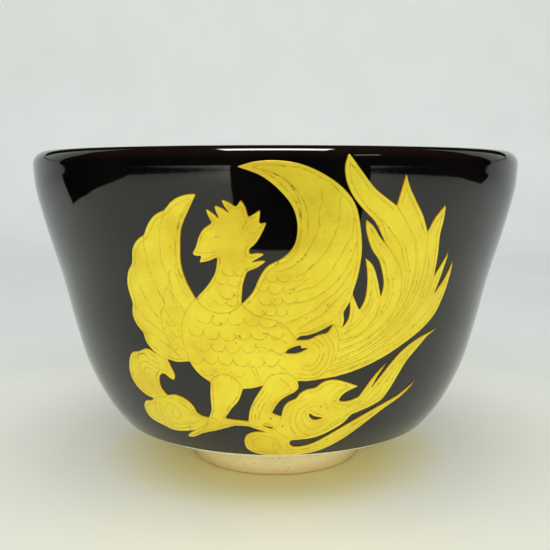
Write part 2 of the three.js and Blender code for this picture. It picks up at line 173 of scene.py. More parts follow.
def spread(tree, value, low, high, to_low, to_high):
    """A value moved from one range to another, held at both ends."""
    return add_node(
        tree,
        "ShaderNodeMapRange",
        {"From Min": low, "From Max": high, "To Min": to_low, "To Max": to_high},
        {"Value": value},
    ).outputs["Result"]


def both(tree, first, second):
    """The product of two values."""
    links = {0: first, 1: second}
    return add_node(tree, "ShaderNodeMath", links=links, operation="MULTIPLY").outputs[0]


def bump(tree, shader, height, strength, depth):
    """Fine relief on a shader. Depth is in millimetres."""
    sizes = {"Strength": strength, "Distance": depth * MM}
    node = add_node(tree, "ShaderNodeBump", sizes, {"Height": height})
    tree.links.new(node.outputs["Normal"], shader.inputs["Normal"])


# %% [markdown]
# ## Black glaze
# An iron glaze fires to a deep black glass. It shows almost nothing of its own: what is seen is
# the room in its surface. A dark base under a smooth, slightly bent surface does that, with a
# faint unevenness where the glaze ran, and a brown breath where it thins over the lip.


# %% Glaze finish
GLAZE_DEEP = (0.0012, 0.0010, 0.0012)
GLAZE_CLOUD = (0.0045, 0.0036, 0.0034)
GLAZE_THIN = (0.012, 0.007, 0.004)  # where it thins over the lip
GLAZE_IOR = 1.58


def black_glaze():
    finish, tree, shader = new_finish("deep_black_glaze")
    lip = spread(tree, own_axis(tree, "Z"), cad_high.z - 2.5 * MM, cad_high.z, 0, 1)
    deep = ramp(tree, object_noise(tree, 60, 4), [(0.3, GLAZE_DEEP), (0.75, GLAZE_CLOUD)])
    tree.links.new(mix(tree, lip, deep, GLAZE_THIN), shader.inputs["Base Color"])
    gloss = ramp(tree, object_noise(tree, 900, 2), [(0.35, (0.035,) * 3), (0.8, (0.075,) * 3)])
    tree.links.new(gloss, shader.inputs["Roughness"])
    shader.inputs["IOR"].default_value = GLAZE_IOR
    bump(tree, shader, object_noise(tree, 180, 2), 0.25, 0.03)
    return finish


BLACK_GLAZE = black_glaze()

# %% [markdown]
# ## Bare clay
# The foot and the strip under the glaze are bare stoneware: pale cream, a little sandy, with fine rings
# left by the turning tool. Low down the clay is painted darker and warmer towards the table as painted
# shade, and the foot is a darker copy of the same clay, painted shade for the shadow under the bowl.
# Rings come from the height alone, so they run round the piece like the real ones.


# %% Clay finish
SAND_GRAIN = (0.25, 0.14, 0.06)


def bare_clay(name, pale, warm, shade_top):
    """Pale clay, painted darker and warmer low down as shade, which fades out at a height in
    millimetres.
    """
    finish, tree, shader = new_finish(name)
    height = own_axis(tree, "Z")
    mottle = object_noise(tree, 220, 5, 0.6)
    wavy = add_node(tree, "ShaderNodeMath", {1: 0.004}, {0: mottle}, operation="MULTIPLY_ADD")
    tree.links.new(height, wavy.inputs[2])
    # painted shade: the clay turns darker and warmer towards the table
    low_shade = spread(tree, wavy.outputs[0], 0.001, shade_top * MM, 1, 0)
    body = mix(tree, spread(tree, mottle, 0.3, 0.7, 0, 1), pale, tuple(c * 0.86 for c in pale))
    body = mix(tree, low_shade, body, warm)
    sand = spread(tree, object_noise(tree, 2600, 2), 0.66, 0.72, 0, 1)
    tree.links.new(mix(tree, sand, body, SAND_GRAIN), shader.inputs["Base Color"])
    shader.inputs["Roughness"].default_value = 0.82
    turning_rings = object_noise(tree, 1500, 2, 0.4, (0.02, 0.02, 1))
    bump(tree, shader, turning_rings, 0.6, 0.08)
    return finish


CLAY = bare_clay("bare_stoneware", (0.90, 0.85, 0.62), (0.70, 0.55, 0.24), 8.6)
# The foot is a darker copy of the same clay: painted shade for the shadow under the bowl.
SHADED_FOOT_CLAY = bare_clay("shaded_foot_stoneware", (0.78, 0.68, 0.36), (0.50, 0.34, 0.10), 5)

# %% [markdown]
# ## Gold
# The gold is a bright yellow enamel with metal in it, fired on last. It was laid thick, so it
# stands up with rounded edges, and then it was cut through with a fine point: the cuts and the
# thin edge show brown. The mesh carries both as attributes, so the colours stay on the lines.


# %% Gold finish
GOLD_TONES = [(0.30, (0.75, 0.545, 0.022)), (0.5, (0.84, 0.665, 0.033)), (0.72, (0.88, 0.745, 0.048))]
GOLD_GRAIN = (0.70, 0.46, 0.026)
CUT_BROWN = (0.50, 0.30, 0.014)
CUT_DARK_SPOTS = (0.17, 0.075, 0.012)
EDGE_BROWN = (0.47, 0.20, 0.012)
PIT_BROWN = (0.36, 0.17, 0.02)


def gold_enamel():
    finish, tree, shader = new_finish("raised_gold")
    cuts = add_node(tree, "ShaderNodeAttribute", attribute_name="cut").outputs["Fac"]
    edge = add_node(tree, "ShaderNodeAttribute", attribute_name="edge").outputs["Fac"]
    grain = object_noise(tree, 1800, 3)
    yellow = ramp(tree, object_noise(tree, 130, 4, 0.6), GOLD_TONES)
    yellow = mix(tree, spread(tree, grain, 0.6, 0.85, 0, 0.3), yellow, GOLD_GRAIN)
    worn = spread(tree, object_noise(tree, 700, 3, 0.6), 0.38, 0.62, 0.2, 0.8)
    lined = mix(tree, both(tree, cuts, worn), yellow, CUT_BROWN)
    # darker brown spots in places along the cuts
    dark_spots = spread(tree, object_noise(tree, 420, 2, 0.6), 0.54, 0.66, 0, 0.85)
    spotted_cuts = spread(tree, both(tree, cuts, dark_spots), 0.3, 0.85, 0, 0.9)
    lined = mix(tree, spotted_cuts, lined, CUT_DARK_SPOTS)
    edged = mix(tree, spread(tree, edge, 0.25, 0.9, 0, 0.9), lined, EDGE_BROWN)
    pits = spread(tree, object_noise(tree, 950, 1), 0.745, 0.77, 0, 0.7)
    tree.links.new(mix(tree, pits, edged, PIT_BROWN), shader.inputs["Base Color"])
    shader.inputs["Metallic"].default_value = 0.35
    rough = ramp(tree, grain, [(0.3, (0.30,) * 3), (0.75, (0.44,) * 3)])
    tree.links.new(rough, shader.inputs["Roughness"])
    bump(tree, shader, grain, 0.3, 0.03)
    return finish


GOLD = gold_enamel()
print("finishes:", [m.name for m in bpy.data.materials if m.use_nodes])

# %% [markdown]
# ## Smooth lines
# Both the turned profiles and the drawing start as a few points joined by a smooth line. The
# line passes through every point and is then walked in even steps, so meshes made from it have
# even faces. Working on arrays of points keeps the rest short.


# %% Lines
def even_steps(line, step):
    """The same line in even steps of about that length."""
    line = np.asarray(line, float)
    reach = np.concatenate([[0], np.cumsum(np.hypot(*np.diff(line, axis=0).T))])
    places = np.linspace(0, reach[-1], max(1, round(reach[-1] / step)) + 1)
    return np.column_stack([np.interp(places, reach, line[:, k]) for k in (0, 1)])


def smooth_line(points, step):
    """A smooth line through the points, in even steps."""
    line = np.asarray(points, float)
    if len(line) > 2:
        ends = np.vstack([2 * line[0] - line[1], line, 2 * line[-1] - line[-2]])
        pieces = []
        for a, b, c, d in zip(ends, ends[1:], ends[2:], ends[3:]):
            t1 = math.dist(a, b) ** 0.5
            t2 = t1 + math.dist(b, c) ** 0.5
            t3 = t2 + math.dist(c, d) ** 0.5
            t = np.linspace(t1, t2, 17)[:-1, None]
            ab = (a * (t1 - t) + b * t) / t1
            bc = (b * (t2 - t) + c * (t - t1)) / (t2 - t1)
            cd = (c * (t3 - t) + d * (t - t2)) / (t3 - t2)
            abc = (ab * (t2 - t) + bc * t) / t2
            bcd = (bc * (t3 - t) + cd * (t - t1)) / (t3 - t1)
            pieces.append((abc * (t2 - t) + bcd * (t - t1)) / (t2 - t1))
        line = np.vstack([*pieces, line[-1:]])
    return even_steps(line, step)


def leftward(line):
    """The direction to the left of the line's travel, at each of its points."""
    along = np.gradient(line, axis=0)
    along /= np.hypot(*along.T)[:, None]
    return np.column_stack([-along[:, 1], along[:, 0]])


def moved_left(line, distance):
    return line + leftward(line) * np.reshape(distance, (-1, 1))


# %% [markdown]
# ## The bowl's profiles
# A thrown bowl is one line turned about its middle. The outer wall is full at the hip, drawn in
# a little at the waist, and opens to an upright rounded lip. The well follows it inside, and
# both coats of glaze lie on the clay, so all the profiles come from the same few lines.

# %% Profiles
glaze_low, glaze_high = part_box("glaze_outer")
_, foot_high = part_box("foot_ring")
RIM_RADIUS = glaze_high.x / MM
BOWL_HEIGHT = glaze_high.z / MM
GLAZE_LINE_HEIGHT = glaze_low.z / MM
GLAZE_LINE_RADIUS = 39.6
LIP_ROUND = 3.2
LIP_INNER = 1.8
LIP_INNER_DROP = 2.4
WALL_AT_HIP = 7.5
WELL_HEIGHT = 15
GLAZE_COAT = 0.5
FOOT_HEIGHT = foot_high.z / MM
FOOT_TOP_RADIUS = foot_high.x / MM
FOOT_FLARE = 0.6  # how much wider the foot is at its top
FOOT_WALL = 5.3
FOOT_RADIUS = FOOT_TOP_RADIUS - FOOT_FLARE
FOOT_BORE = FOOT_RADIUS - FOOT_WALL
FOOT_CHAMFER = 0.8
WALL_SHAPE = [  # shares of the way out and up, from the glaze line to the lip
    (0, 0), (0.112, 0.045), (0.229, 0.102), (0.424, 0.234), (0.566, 0.393),
    (0.702, 0.579), (0.863, 0.76), (0.98, 0.917), (1, 1),
]
PROFILE_STEP = 0.7

lip_base = BOWL_HEIGHT - LIP_ROUND
crest_radius = RIM_RADIUS - LIP_ROUND


def quarter(centre, across, up, steps=10):
    """A quarter of an ellipse, from its side to its top."""
    turn = np.linspace(0, math.pi / 2, steps + 1)
    return np.column_stack([centre[0] + across * np.cos(turn), centre[1] + up * np.sin(turn)])


def bezier(a, b, c, d, steps):
    t = np.linspace(0, 1, steps + 1)[:, None]
    a, b, c, d = (np.asarray(p, float) for p in (a, b, c, d))
    return a * (1 - t) ** 3 + 3 * b * t * (1 - t) ** 2 + 3 * c * t**2 * (1 - t) + d * t**3


wall = smooth_line(
    [
        (
            GLAZE_LINE_RADIUS + (RIM_RADIUS - GLAZE_LINE_RADIUS) * across,
            GLAZE_LINE_HEIGHT + (lip_base - GLAZE_LINE_HEIGHT) * up,
        )
        for across, up in WALL_SHAPE
    ],
    PROFILE_STEP,
)
outside = np.vstack([wall, quarter((crest_radius, lip_base), LIP_ROUND, LIP_ROUND)[1:]])

share_up = np.linspace(0, 1, len(wall))
well_side = moved_left(wall, WALL_AT_HIP + (LIP_ROUND + LIP_INNER - WALL_AT_HIP) * share_up)
hip = round(len(wall) / 3)  # where the straight well side gives way to the round bottom
down = well_side[hip] - well_side[hip + 1]
down /= math.hypot(*down)
well_bottom = bezier(
    well_side[hip],
    well_side[hip] + down * (well_side[hip][1] - WELL_HEIGHT) * 0.7,
    (well_side[hip][0] * 0.5, WELL_HEIGHT),
    (0, WELL_HEIGHT),
    48,
)
lip_inside = quarter((crest_radius, BOWL_HEIGHT - LIP_INNER_DROP), -LIP_INNER, LIP_INNER_DROP)[::-1]
inside = np.vstack([lip_inside[:-1], well_side[-2:hip:-1], well_bottom])

clay_outside = moved_left(outside, GLAZE_COAT)
clay_inside = moved_left(inside, GLAZE_COAT)
clay_outside[-1] = clay_inside[0] = (crest_radius, BOWL_HEIGHT - GLAZE_COAT)
clay_inside[-1][0] = 0
underside_spread = GLAZE_LINE_RADIUS - FOOT_TOP_RADIUS
underside_rise = clay_outside[0][1] - FOOT_HEIGHT
underside = bezier(
    (FOOT_TOP_RADIUS, FOOT_HEIGHT),
    (FOOT_TOP_RADIUS + underside_spread * 0.5, FOOT_HEIGHT + underside_rise * 0.05),
    (FOOT_TOP_RADIUS + underside_spread * 0.85, FOOT_HEIGHT + underside_rise * 0.3),
    clay_outside[0],
    24,
)
print("wall", len(wall), "points; well", len(inside), "points")

# %% [markdown]
# The two coats end softly. A dipped glaze gathers into a rounded bead at its lower edge, so the
# coat there goes from nothing to its full thickness over half a millimetre. The foot is turned
# with a small round where it stands and a soft edge round the bore.

# %% Soft edges
BEAD = 0.45  # how far up the bead at the glaze line reaches
climb = np.concatenate([[0], np.cumsum(np.hypot(*np.diff(outside, axis=0).T))])
bead_steps = np.linspace(0, 1, 9)[:-1]
first = outside[0] + (outside[1] - outside[0]) * (BEAD / climb[1]) * bead_steps[:, None]
bead = moved_left(first, GLAZE_COAT - GLAZE_COAT * np.sqrt(1 - (1 - bead_steps) ** 2))
outer_face = np.vstack([bead, outside[climb > BEAD]])

foot_profile = np.vstack(
    [
        (FOOT_BORE + FOOT_CHAMFER, 0),
        (FOOT_RADIUS - FOOT_CHAMFER, 0),
        quarter((FOOT_RADIUS - FOOT_CHAMFER, FOOT_CHAMFER), FOOT_CHAMFER, -FOOT_CHAMFER, 6)[-2::-1],
        even_steps([(FOOT_RADIUS, FOOT_CHAMFER), (FOOT_TOP_RADIUS, FOOT_HEIGHT)], PROFILE_STEP)[1:],
        (FOOT_BORE, FOOT_HEIGHT),
        quarter((FOOT_BORE + FOOT_CHAMFER, FOOT_CHAMFER), -FOOT_CHAMFER, -FOOT_CHAMFER, 6),
    ]
)
print("bead points", len(bead), "foot points", len(foot_profile))

# %% [markdown]
# ## Turning the pieces
# All four turned pieces follow one rule, so one Geometry Nodes tree makes them. A flat grid has
# one row for each point of the profile and one column for each step round. Each grid point
# looks up its profile point, takes its radius and height, and is turned to its column's angle.
# Merging by distance then closes the seam and the poles.


# %% The turning tree
def turning_tree():
    tree = bpy.data.node_groups.new("turn_on_the_wheel", "GeometryNodeTree")
    for name, kind in (("Profile", "Geometry"), ("Steps round", "Int"), ("Finish", "Material")):
        tree.interface.new_socket(name=name, in_out="INPUT", socket_type=f"NodeSocket{kind}")
    tree.interface.new_socket(name="Piece", in_out="OUTPUT", socket_type="NodeSocketGeometry")
    given = tree.nodes.new("NodeGroupInput").outputs

    def maths(operation, a, b=0.0):
        sockets = {0: a, 1: b}
        linked = {k: s for k, s in sockets.items() if isinstance(s, bpy.types.NodeSocket)}
        fixed = {k: s for k, s in sockets.items() if k not in linked}
        return add_node(tree, "ShaderNodeMath", fixed, linked, operation=operation).outputs[0]

    size = add_node(tree, "GeometryNodeAttributeDomainSize", links={"Geometry": given["Profile"]})
    rows = size.outputs["Point Count"]
    last_row = maths("SUBTRACT", rows, 1)
    columns = maths("ADD", given["Steps round"], 1)
    grid = add_node(
        tree,
        "GeometryNodeMeshGrid",
        links={
            "Size X": last_row,
            "Size Y": given["Steps round"],
            "Vertices X": rows,
            "Vertices Y": columns,
        },
    )
    at = add_node(
        tree,
        "ShaderNodeSeparateXYZ",
        links={"Vector": tree.nodes.new("GeometryNodeInputPosition").outputs[0]},
    )
    row = maths("ROUND", maths("ADD", at.outputs["X"], maths("MULTIPLY", last_row, 0.5)))
    turn = maths("MULTIPLY", maths("DIVIDE", at.outputs["Y"], given["Steps round"]), 2 * math.pi)
    looked_up = add_node(
        tree,
        "GeometryNodeSampleIndex",
        links={
            "Geometry": given["Profile"],
            "Value": tree.nodes.new("GeometryNodeInputPosition").outputs[0],
            "Index": row,
        },
        data_type="FLOAT_VECTOR",
    )
    found = add_node(tree, "ShaderNodeSeparateXYZ", links={"Vector": looked_up.outputs["Value"]})
    place = add_node(
        tree,
        "ShaderNodeCombineXYZ",
        links={
            "X": maths("MULTIPLY", found.outputs["X"], maths("SINE", turn)),
            "Y": maths("MULTIPLY", found.outputs["X"], maths("MULTIPLY", maths("COSINE", turn), -1)),
            "Z": found.outputs["Z"],
        },
    )
    steps = [
        ("GeometryNodeSetPosition", {"Position": place.outputs[0]}),
        ("GeometryNodeMergeByDistance", {}),
        ("GeometryNodeSetShadeSmooth", {}),
        ("GeometryNodeRealizeInstances", {}),
        ("GeometryNodeSetMaterial", {"Material": given["Finish"]}),
    ]
    shape = grid.outputs["Mesh"]
    for kind, links in steps:
        node = add_node(tree, kind, links=links)
        tree.links.new(shape, node.inputs[0])
        shape = node.outputs[0]
        if kind == "GeometryNodeMergeByDistance":
            node.inputs["Distance"].default_value = 0.001 * MM
    tree.links.new(shape, tree.nodes.new("NodeGroupOutput").inputs["Piece"])
    return tree


TURNING = turning_tree()
STEPS_ROUND = 288


# %% [markdown]
# Running a tree is the same for every piece: hang it on an object, set its inputs by their
# identifiers, take the finished mesh, and drop the modifier. A face that runs in the wrong
# direction would shade wrongly, so the piece's volume is measured and has to be positive.


# %% Running a tree
def run_tree(name, start, tree, inputs):
    """The plain mesh that a tree makes from a starting mesh."""
    maker = bpy.data.objects.new(name + "_maker", start)
    bpy.context.scene.collection.objects.link(maker)
    modifier = maker.modifiers.new(tree.name, "NODES")
    modifier.node_group = tree
    sockets = {s.name: s.identifier for s in tree.interface.items_tree if s.in_out == "INPUT"}
    for key, value in inputs.items():
        modifier[sockets[key]] = value
    evaluated = maker.evaluated_get(bpy.context.evaluated_depsgraph_get())
    mesh = bpy.data.meshes.new_from_object(evaluated)
    maker.modifiers.clear()
    bpy.data.objects.remove(maker)
    mesh.name = name
    return mesh


def show(mesh, node):
    """Puts a finished mesh in the scene in place of its CAD node."""
    piece = bpy.data.objects.new(mesh.name, mesh)
    bpy.context.scene.collection.objects.link(piece)
    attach(piece, "root")
    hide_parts(node)
    return piece


def turned_piece(name, profile, finish, node):
    """A piece made by turning its profile of (radius, height) points."""
    line = bpy.data.meshes.new(name + "_profile")
    points = [(r * MM, 0, z * MM) for r, z in profile]
    line.from_pydata(points, [(i, i + 1) for i in range(len(profile) - 1)], [])
    mesh = run_tree(name, line, TURNING, {"Steps round": STEPS_ROUND, "Finish": finish})
    shape = bmesh.new()
    shape.from_mesh(mesh)
    loose = [edge for edge in shape.edges if not edge.link_faces]
    bmesh.ops.delete(shape, geom=loose, context="EDGES")
    open_edges = sum(not edge.is_manifold for edge in shape.edges)
    volume = shape.calc_volume(signed=True) / MM**3
    if volume < 0:
        bmesh.ops.reverse_faces(shape, faces=shape.faces)
    shape.to_mesh(mesh)
    shape.free()
    print(f"{name}: {len(mesh.polygons)} faces, {volume:.0f} mm3, {open_edges} open edges")
    return show(mesh, node)


# %% Turn the four pieces
turned_piece(
    "thrown_body",
    np.vstack([(0, FOOT_HEIGHT), underside, clay_outside[1:], clay_inside[1:]]),
    CLAY,
    "clay_body",
)
turned_piece("turned_foot", foot_profile, SHADED_FOOT_CLAY, "foot_ring")
turned_piece(
    "dipped_glaze",
    np.vstack([outer_face, clay_outside[::-1], outer_face[:1]]),
    BLACK_GLAZE,
    "glaze_outer",
)
turned_piece(
    "poured_glaze",
    np.vstack([inside, clay_inside[::-1], inside[:1]]),
    BLACK_GLAZE,
    "glaze_inner",
)

# %% [markdown]
# ## The drawing board
# The phoenix is drawn flat, in millimetres, as if the front of the bowl were unrolled: across
# is the way round the bowl, up is the height. A field of gold is a closed run of strokes with
# the gold on their left. Where two fields touch they share one line, called a seam, and each
# stops a hair short of it, so the cut between them is a real gap.

# %% Seams and strokes
Seam = namedtuple("Seam", "points")


def seam(*points):
    return Seam(list(points))


def back(line):
    """The same seam drawn the other way."""
    return Seam(line.points[::-1])


WING_ROOT = seam(
    (-16.3, 48.4), (-18.6, 45.8), (-20.2, 42.6), (-20.4, 39.4), (-19.8, 36.8), (-19.5, 34.6)
)
NECK_ROOT = seam((-16.3, 48.4), (-14.6, 46.5), (-11.8, 45.5), (-9, 45.9), (-6.8, 47.5))
FAR_WING_ROOT = seam(
    (-6.8, 47.5), (-5, 45.8), (-2.4, 44.7), (0, 44.2), (2, 43), (3.4, 41.4), (4.4, 40)
)
WING_ON_TAIL_LOW = seam((12, 43.1), (14.1, 42.4))
WING_ON_TAIL_HIGH = seam((15.2, 47.6), (15.6, 49.3))
LEFT_THIGH = seam((-15, 30.3), (-13.6, 31.7), (-11, 32.3), (-8.8, 31.2), (-7.4, 29.1))
RIGHT_THIGH = seam((-2.8, 30), (-1.5, 32), (1, 32.8), (3.5, 32.4), (5, 31))
CLAWS_CROSS = seam((-6.8, 20.1), (-6.8, 21.4))
CLAW_ON_CLOUD = seam((-17, 21.7), (-17.7, 20.4), (-19.6, 19), (-22.1, 17.8))
FOOT_ON_LOW_CLOUD = seam((-2.5, 18.7), (-1.3, 19), (-0.2, 19.6))
FOOT_ON_RIGHT_CLOUD = seam((-0.2, 19.6), (0.9, 20.9), (1.4, 22.8))
CLOUD_ON_WING = seam((-25.1, 34.6), (-26.4, 34.9), (-27.8, 35.6))
LEFT_CLOUDS = seam((-32.1, 24.5), (-30.6, 25.3), (-28.8, 25.4), (-27.3, 26.1))
RIGHT_CLOUDS = seam((-0.2, 19.6), (0.9, 18.7), (2.4, 17.5), (4.2, 16.4))

# The tail fans out of the rump: six short stretches of rump, and five ribs between the plumes.
RUMP = [
    seam((12, 43.1), (13.2, 41.4), (13.6, 39.6)),
    seam((13.6, 39.6), (13.6, 37.4)),
    seam((13.6, 37.4), (12.9, 35.4)),
    seam((12.9, 35.4), (12, 34)),
    seam((12, 34), (10.9, 32.8)),
    seam((10.9, 32.8), (9, 31.1)),
]
RIB = [
    seam((13.6, 39.6), (17.8, 40.6), (20.6, 43), (21.8, 46), (22, 48.5)),
    seam((13.6, 37.4), (19.5, 39.6), (23.8, 42.6), (26.2, 46.2), (26.7, 50), (25.6, 53.6),
         (23.4, 56.8), (20.9, 59.5)),
    seam((12.9, 35.4), (20.4, 38.6), (25.4, 42.6), (28.3, 47), (29.2, 51.5), (28.8, 56), (27.2, 60),
         (24.6, 63.8), (22.2, 66.8)),
    seam((12, 34), (19, 36.6), (24.2, 39.8), (28.4, 44), (30.8, 48.5), (31.4, 53), (31, 57.5),
         (30.3, 61.4)),
    seam((10.9, 32.8), (16.5, 34.2), (22, 36.6), (27.4, 40), (31.8, 44.2), (34.3, 48.4), (35, 51.8)),
]
print(len(RUMP), "rump stretches and", len(RIB), "ribs")

# %% [markdown]
# ## Laying gold on the bowl
# A field becomes a thin plate with a fine mesh. Its height follows two distances: to the edge,
# which gives a rounded side with a slightly raised bead of enamel, and to the nearest cut, which
# gives a small groove. Mesh points are placed where those shapes change: in rails beside the
# edge and on both sides of every cut, and loosely between. One triangulation joins them, then
# each point is wrapped onto the outer wall.

# %% Plate sizes
BOARD_RADIUS = 55  # a step across on the board is that far round at this radius
BOARD_GLAZE_LINE = 11.45  # the board's height at the glaze line
BOARD_RIM = 78.1  # and at the rim
PLATE = 0.28  # height of the gold over the glaze
EDGE_ROUND = 0.16  # how far in the rounded side reaches
EDGE_START = 0.35  # share of the height that stands straight up
EDGE_BEAD = 0.05  # height of the raised bead beside the edge
BEAD_PLACE = 0.24  # its distance from the edge
BEAD_WIDTH = 0.13
CROWN = 0.03  # how much the middle stands over the edge
UNEVEN = 0.012
CUT_DEPTH = 0.055
CUT_HALF = 0.2  # half the width of a cut
SEAM_GAP = 0.02
SEAM_SHARE = 0.45  # depth of the cut beside a seam, as a share of a full cut
TIP_PASSES = 4
SUNK = 0.06  # how far the plate reaches into the glaze
EDGE_STEP = 0.25
EDGE_RAILS = (0.07, 0.16, 0.26, 0.4)
EDGE_BROWNED = 0.18  # how far in the thin edge shows brown
LINE_STEP = 0.12
CUT_STEP = 0.24
SMOOTH_ALREADY = 30  # a cut with as many points comes from a helper and is smooth
HAND_WANDER = 0.3
FIELD_STEP = 0.5
POINT_ROOM = 0.07

face_outward = -leftward(outside)


def on_bowl(across, up, lift):
    """Where a board point lies on the outer glaze, lifted off it, in metres."""
    rise = (BOWL_HEIGHT - GLAZE_LINE_HEIGHT) / (BOARD_RIM - BOARD_GLAZE_LINE)
    height = GLAZE_LINE_HEIGHT + (np.asarray(up) - BOARD_GLAZE_LINE) * rise
    radius, out, over = (
        np.interp(height, outside[:, 1], values)
        for values in (outside[:, 0], face_outward[:, 0], face_outward[:, 1])
    )
    turn = np.asarray(across) / BOARD_RADIUS
    reach = radius + out * lift
    return np.column_stack([reach * np.sin(turn), -reach * np.cos(turn), height + over * lift]) * MM


def seam_corner(arriving, leaving):
    """The corner where two seams meet, half a gap in from both."""
    first, second = -leftward(arriving)[-1], -leftward(leaving)[0]
    along = [np.array([-d[1], d[0]]) for d in (first, second)]
    inward = -(first + second)
    return arriving[-1] + inward * (SEAM_GAP / 2) / (1 + along[0] @ along[1])


def outline_of(strokes):
    """A closed outline from its strokes, and which of its points lie on a seam."""
    lines = [
        (smooth_line(getattr(stroke, "points", stroke), EDGE_STEP), isinstance(stroke, Seam))
        for stroke in strokes
    ]
    outline, on_seam = [], []
    for i, (line, shared) in enumerate(lines):
        before, was_shared = lines[i - 1]
        next_shared = lines[(i + 1) % len(lines)][1]
        if shared:
            moved = moved_left(line, SEAM_GAP / 2)
            if was_shared:
                moved[0] = seam_corner(before, line)
            part = moved[:-1] if next_shared else moved
        else:
            part = line[1:-1] if was_shared else line[:-1]
        outline.append(part)
        on_seam.append(np.full(len(part), shared))
    return softened(np.vstack(outline), np.concatenate(on_seam))


def softened(outline, on_seam):
    """The outline with its tips and notches rounded, as thick enamel settles. Seams stay put."""
    free = ~(on_seam | np.roll(on_seam, 1) | np.roll(on_seam, -1))
    for _ in range(TIP_PASSES):
        middle = (np.roll(outline, 1, axis=0) + np.roll(outline, -1, axis=0)) / 2
        outline = np.where(free[:, None], (outline + middle) / 2, outline)
    return outline, on_seam


# %% [markdown]
# A few small tools work on the flat drawing. One finds the distance to a set of lines with a
# tree of points, one tells whether a point is inside an outline, and one drops points that
# crowd others, because slivers in the mesh would catch the light. The last one fills an outline
# with triangles.


# %% Flat tools
def closed(loop):
    return np.vstack([loop, loop[:1]])


def distance_to(lines):
    """A function giving the distance from points to the nearest of the lines."""
    dots = np.vstack([even_steps(line, 0.06) for line in lines])
    tree = kdtree.KDTree(len(dots))
    for i, (x, y) in enumerate(dots):
        tree.insert((x, y, 0), i)
    tree.balance()
    return lambda points: np.array([tree.find((x, y, 0))[2] for x, y in points])


def is_inside(points, loops):
    """Whether each point is inside the outline and outside its holes."""
    points = np.asarray(points)
    crossings = np.zeros(len(points), int)
    for loop in loops:
        for (x1, y1), (x2, y2) in zip(loop, np.roll(loop, -1, axis=0)):
            if y1 == y2:
                continue
            spans = (points[:, 1] > y1) != (points[:, 1] > y2)
            meets = x1 + (points[:, 1] - y1) * (x2 - x1) / (y2 - y1)
            crossings += spans & (points[:, 0] < meets)
    return crossings % 2 == 1


def uncrowded(points, room, kept=()):
    """The points that keep their distance from those before them."""
    cells = {}
    chosen = []
    for source, points_in in ((False, kept), (True, points)):
        for x, y in points_in:
            i, j = int(x // room), int(y // room)
            around = [(i + a, j + b) for a in (-1, 0, 1) for b in (-1, 0, 1)]
            near = (p for cell in around for p in cells.get(cell, ()))
            if source and any((x - u) ** 2 + (y - v) ** 2 < room * room for u, v in near):
                continue
            cells.setdefault((i, j), []).append((x, y))
            if source:
                chosen.append((x, y))
    return np.array(chosen).reshape(-1, 2)


def triangulated(loops, extra):
    """Flat points and triangles that fill the outline, its holes left open."""
    points = np.vstack([*loops, extra])
    edges, start = [], 0
    for loop in loops:
        n = len(loop)
        edges += [(start + i, start + (i + 1) % n) for i in range(n)]
        start += n
    flat, _, faces, *_ = delaunay_2d_cdt([Vector(p) for p in points], edges, [], 0, 1e-6)
    flat = np.array([tuple(p) for p in flat])
    faces = np.array([f for f in faces if len(f) == 3])
    return flat, faces[is_inside(flat[faces].mean(axis=1), loops)]


# %% [markdown]
# A cut that follows the edge at a fixed distance gives most fields their double outline. It is
# the outline moved inward. The stretches along a seam and those that come too near another side
# are left out. Every cut then gets the small wander of a hand-held needle.


# %% Cuts beside the edge
SHORTEST_RUN = 8  # a shorter stretch of points is left out


def edge_cuts(loops, seams, away, inset):
    """Cuts that run beside the free edges, in unbroken stretches."""
    runs = []
    for loop, on_seam in zip(loops, seams):
        moved = moved_left(closed(loop), inset)
        on_seam = np.concatenate([on_seam, on_seam[:1]])
        good = (away(moved) > inset * 0.95) & is_inside(moved, loops) & ~on_seam
        run = []
        for point, keep in zip(moved, good):
            if keep and (not run or math.dist(point, run[-1]) < 3 * EDGE_STEP):
                run.append(point)
                continue
            runs.append(run)
            run = [point] if keep else []
        runs.append(run)
    return [np.array(run) for run in runs if len(run) > SHORTEST_RUN]


def by_hand(line):
    """The line with the small wander of a hand-held needle."""
    wander = [noise.noise_vector((x * 0.33, y * 0.33, 7)) for x, y in line]
    return line + HAND_WANDER * np.array([(step.x, step.y) for step in wander])


# %% [markdown]
# The plate's top comes from two helpers. One gives its height at each point from the distances
# to the edge and to the nearest cut. The other chooses where the flat mesh needs points.


# %% The top of a plate
def plate_lift(flat, edge, cut):
    """Height of the gold's top over the glaze."""
    side = np.clip(edge / EDGE_ROUND, 0, 1)
    rounded = EDGE_START + (1 - EDGE_START) * np.sqrt(1 - (1 - side) ** 2)
    lift = PLATE * rounded + EDGE_BEAD * np.exp(-(((edge - BEAD_PLACE) / BEAD_WIDTH) ** 2))
    lift += CROWN * (1 - np.exp(-edge / 1.5)) - CUT_DEPTH * cut
    return lift + [UNEVEN * noise.noise((x * 0.55, y * 0.55, 3)) for x, y in flat]


def mesh_points(loops, away, beside, lines):
    """Where the top needs points: in rails beside edges and cuts, and loosely between."""
    rails = []
    for loop in loops:
        for inset in EDGE_RAILS:
            rail = moved_left(closed(loop), inset)[:-1]
            rails.append(rail[away(rail) > inset * 0.9])
    for side in (0, CUT_HALF, -CUT_HALF):
        for line in lines:
            rail = moved_left(line, side)
            rails.append(rail[away(rail) > 0.2])
    low_corner, high_corner = loops[0].min(axis=0), loops[0].max(axis=0)
    across = np.arange(low_corner[0], high_corner[0], FIELD_STEP)
    ups = np.arange(low_corner[1], high_corner[1], FIELD_STEP * 0.87)
    field = np.array([(x + FIELD_STEP / 2 * (j % 2), y) for j, y in enumerate(ups) for x in across])
    field = field[away(field) > 0.5]
    field = field[beside(field) > 0.3]
    extra = np.vstack([*rails, field])
    coarse = np.array([(x, y) for x in across[::4] for y in ups[::4]])
    coarse = coarse[is_inside(coarse, loops)]
    coarse = coarse[away(coarse) > 0.6] if len(coarse) else coarse
    return uncrowded(extra[is_inside(extra, loops)], POINT_ROOM, np.vstack(loops)), coarse


# %% [markdown]
# Now the plate itself. The top is shaped, a wall goes down from its outline into the glaze, and
# a coarser sheet closes it underneath, so every field is a solid.


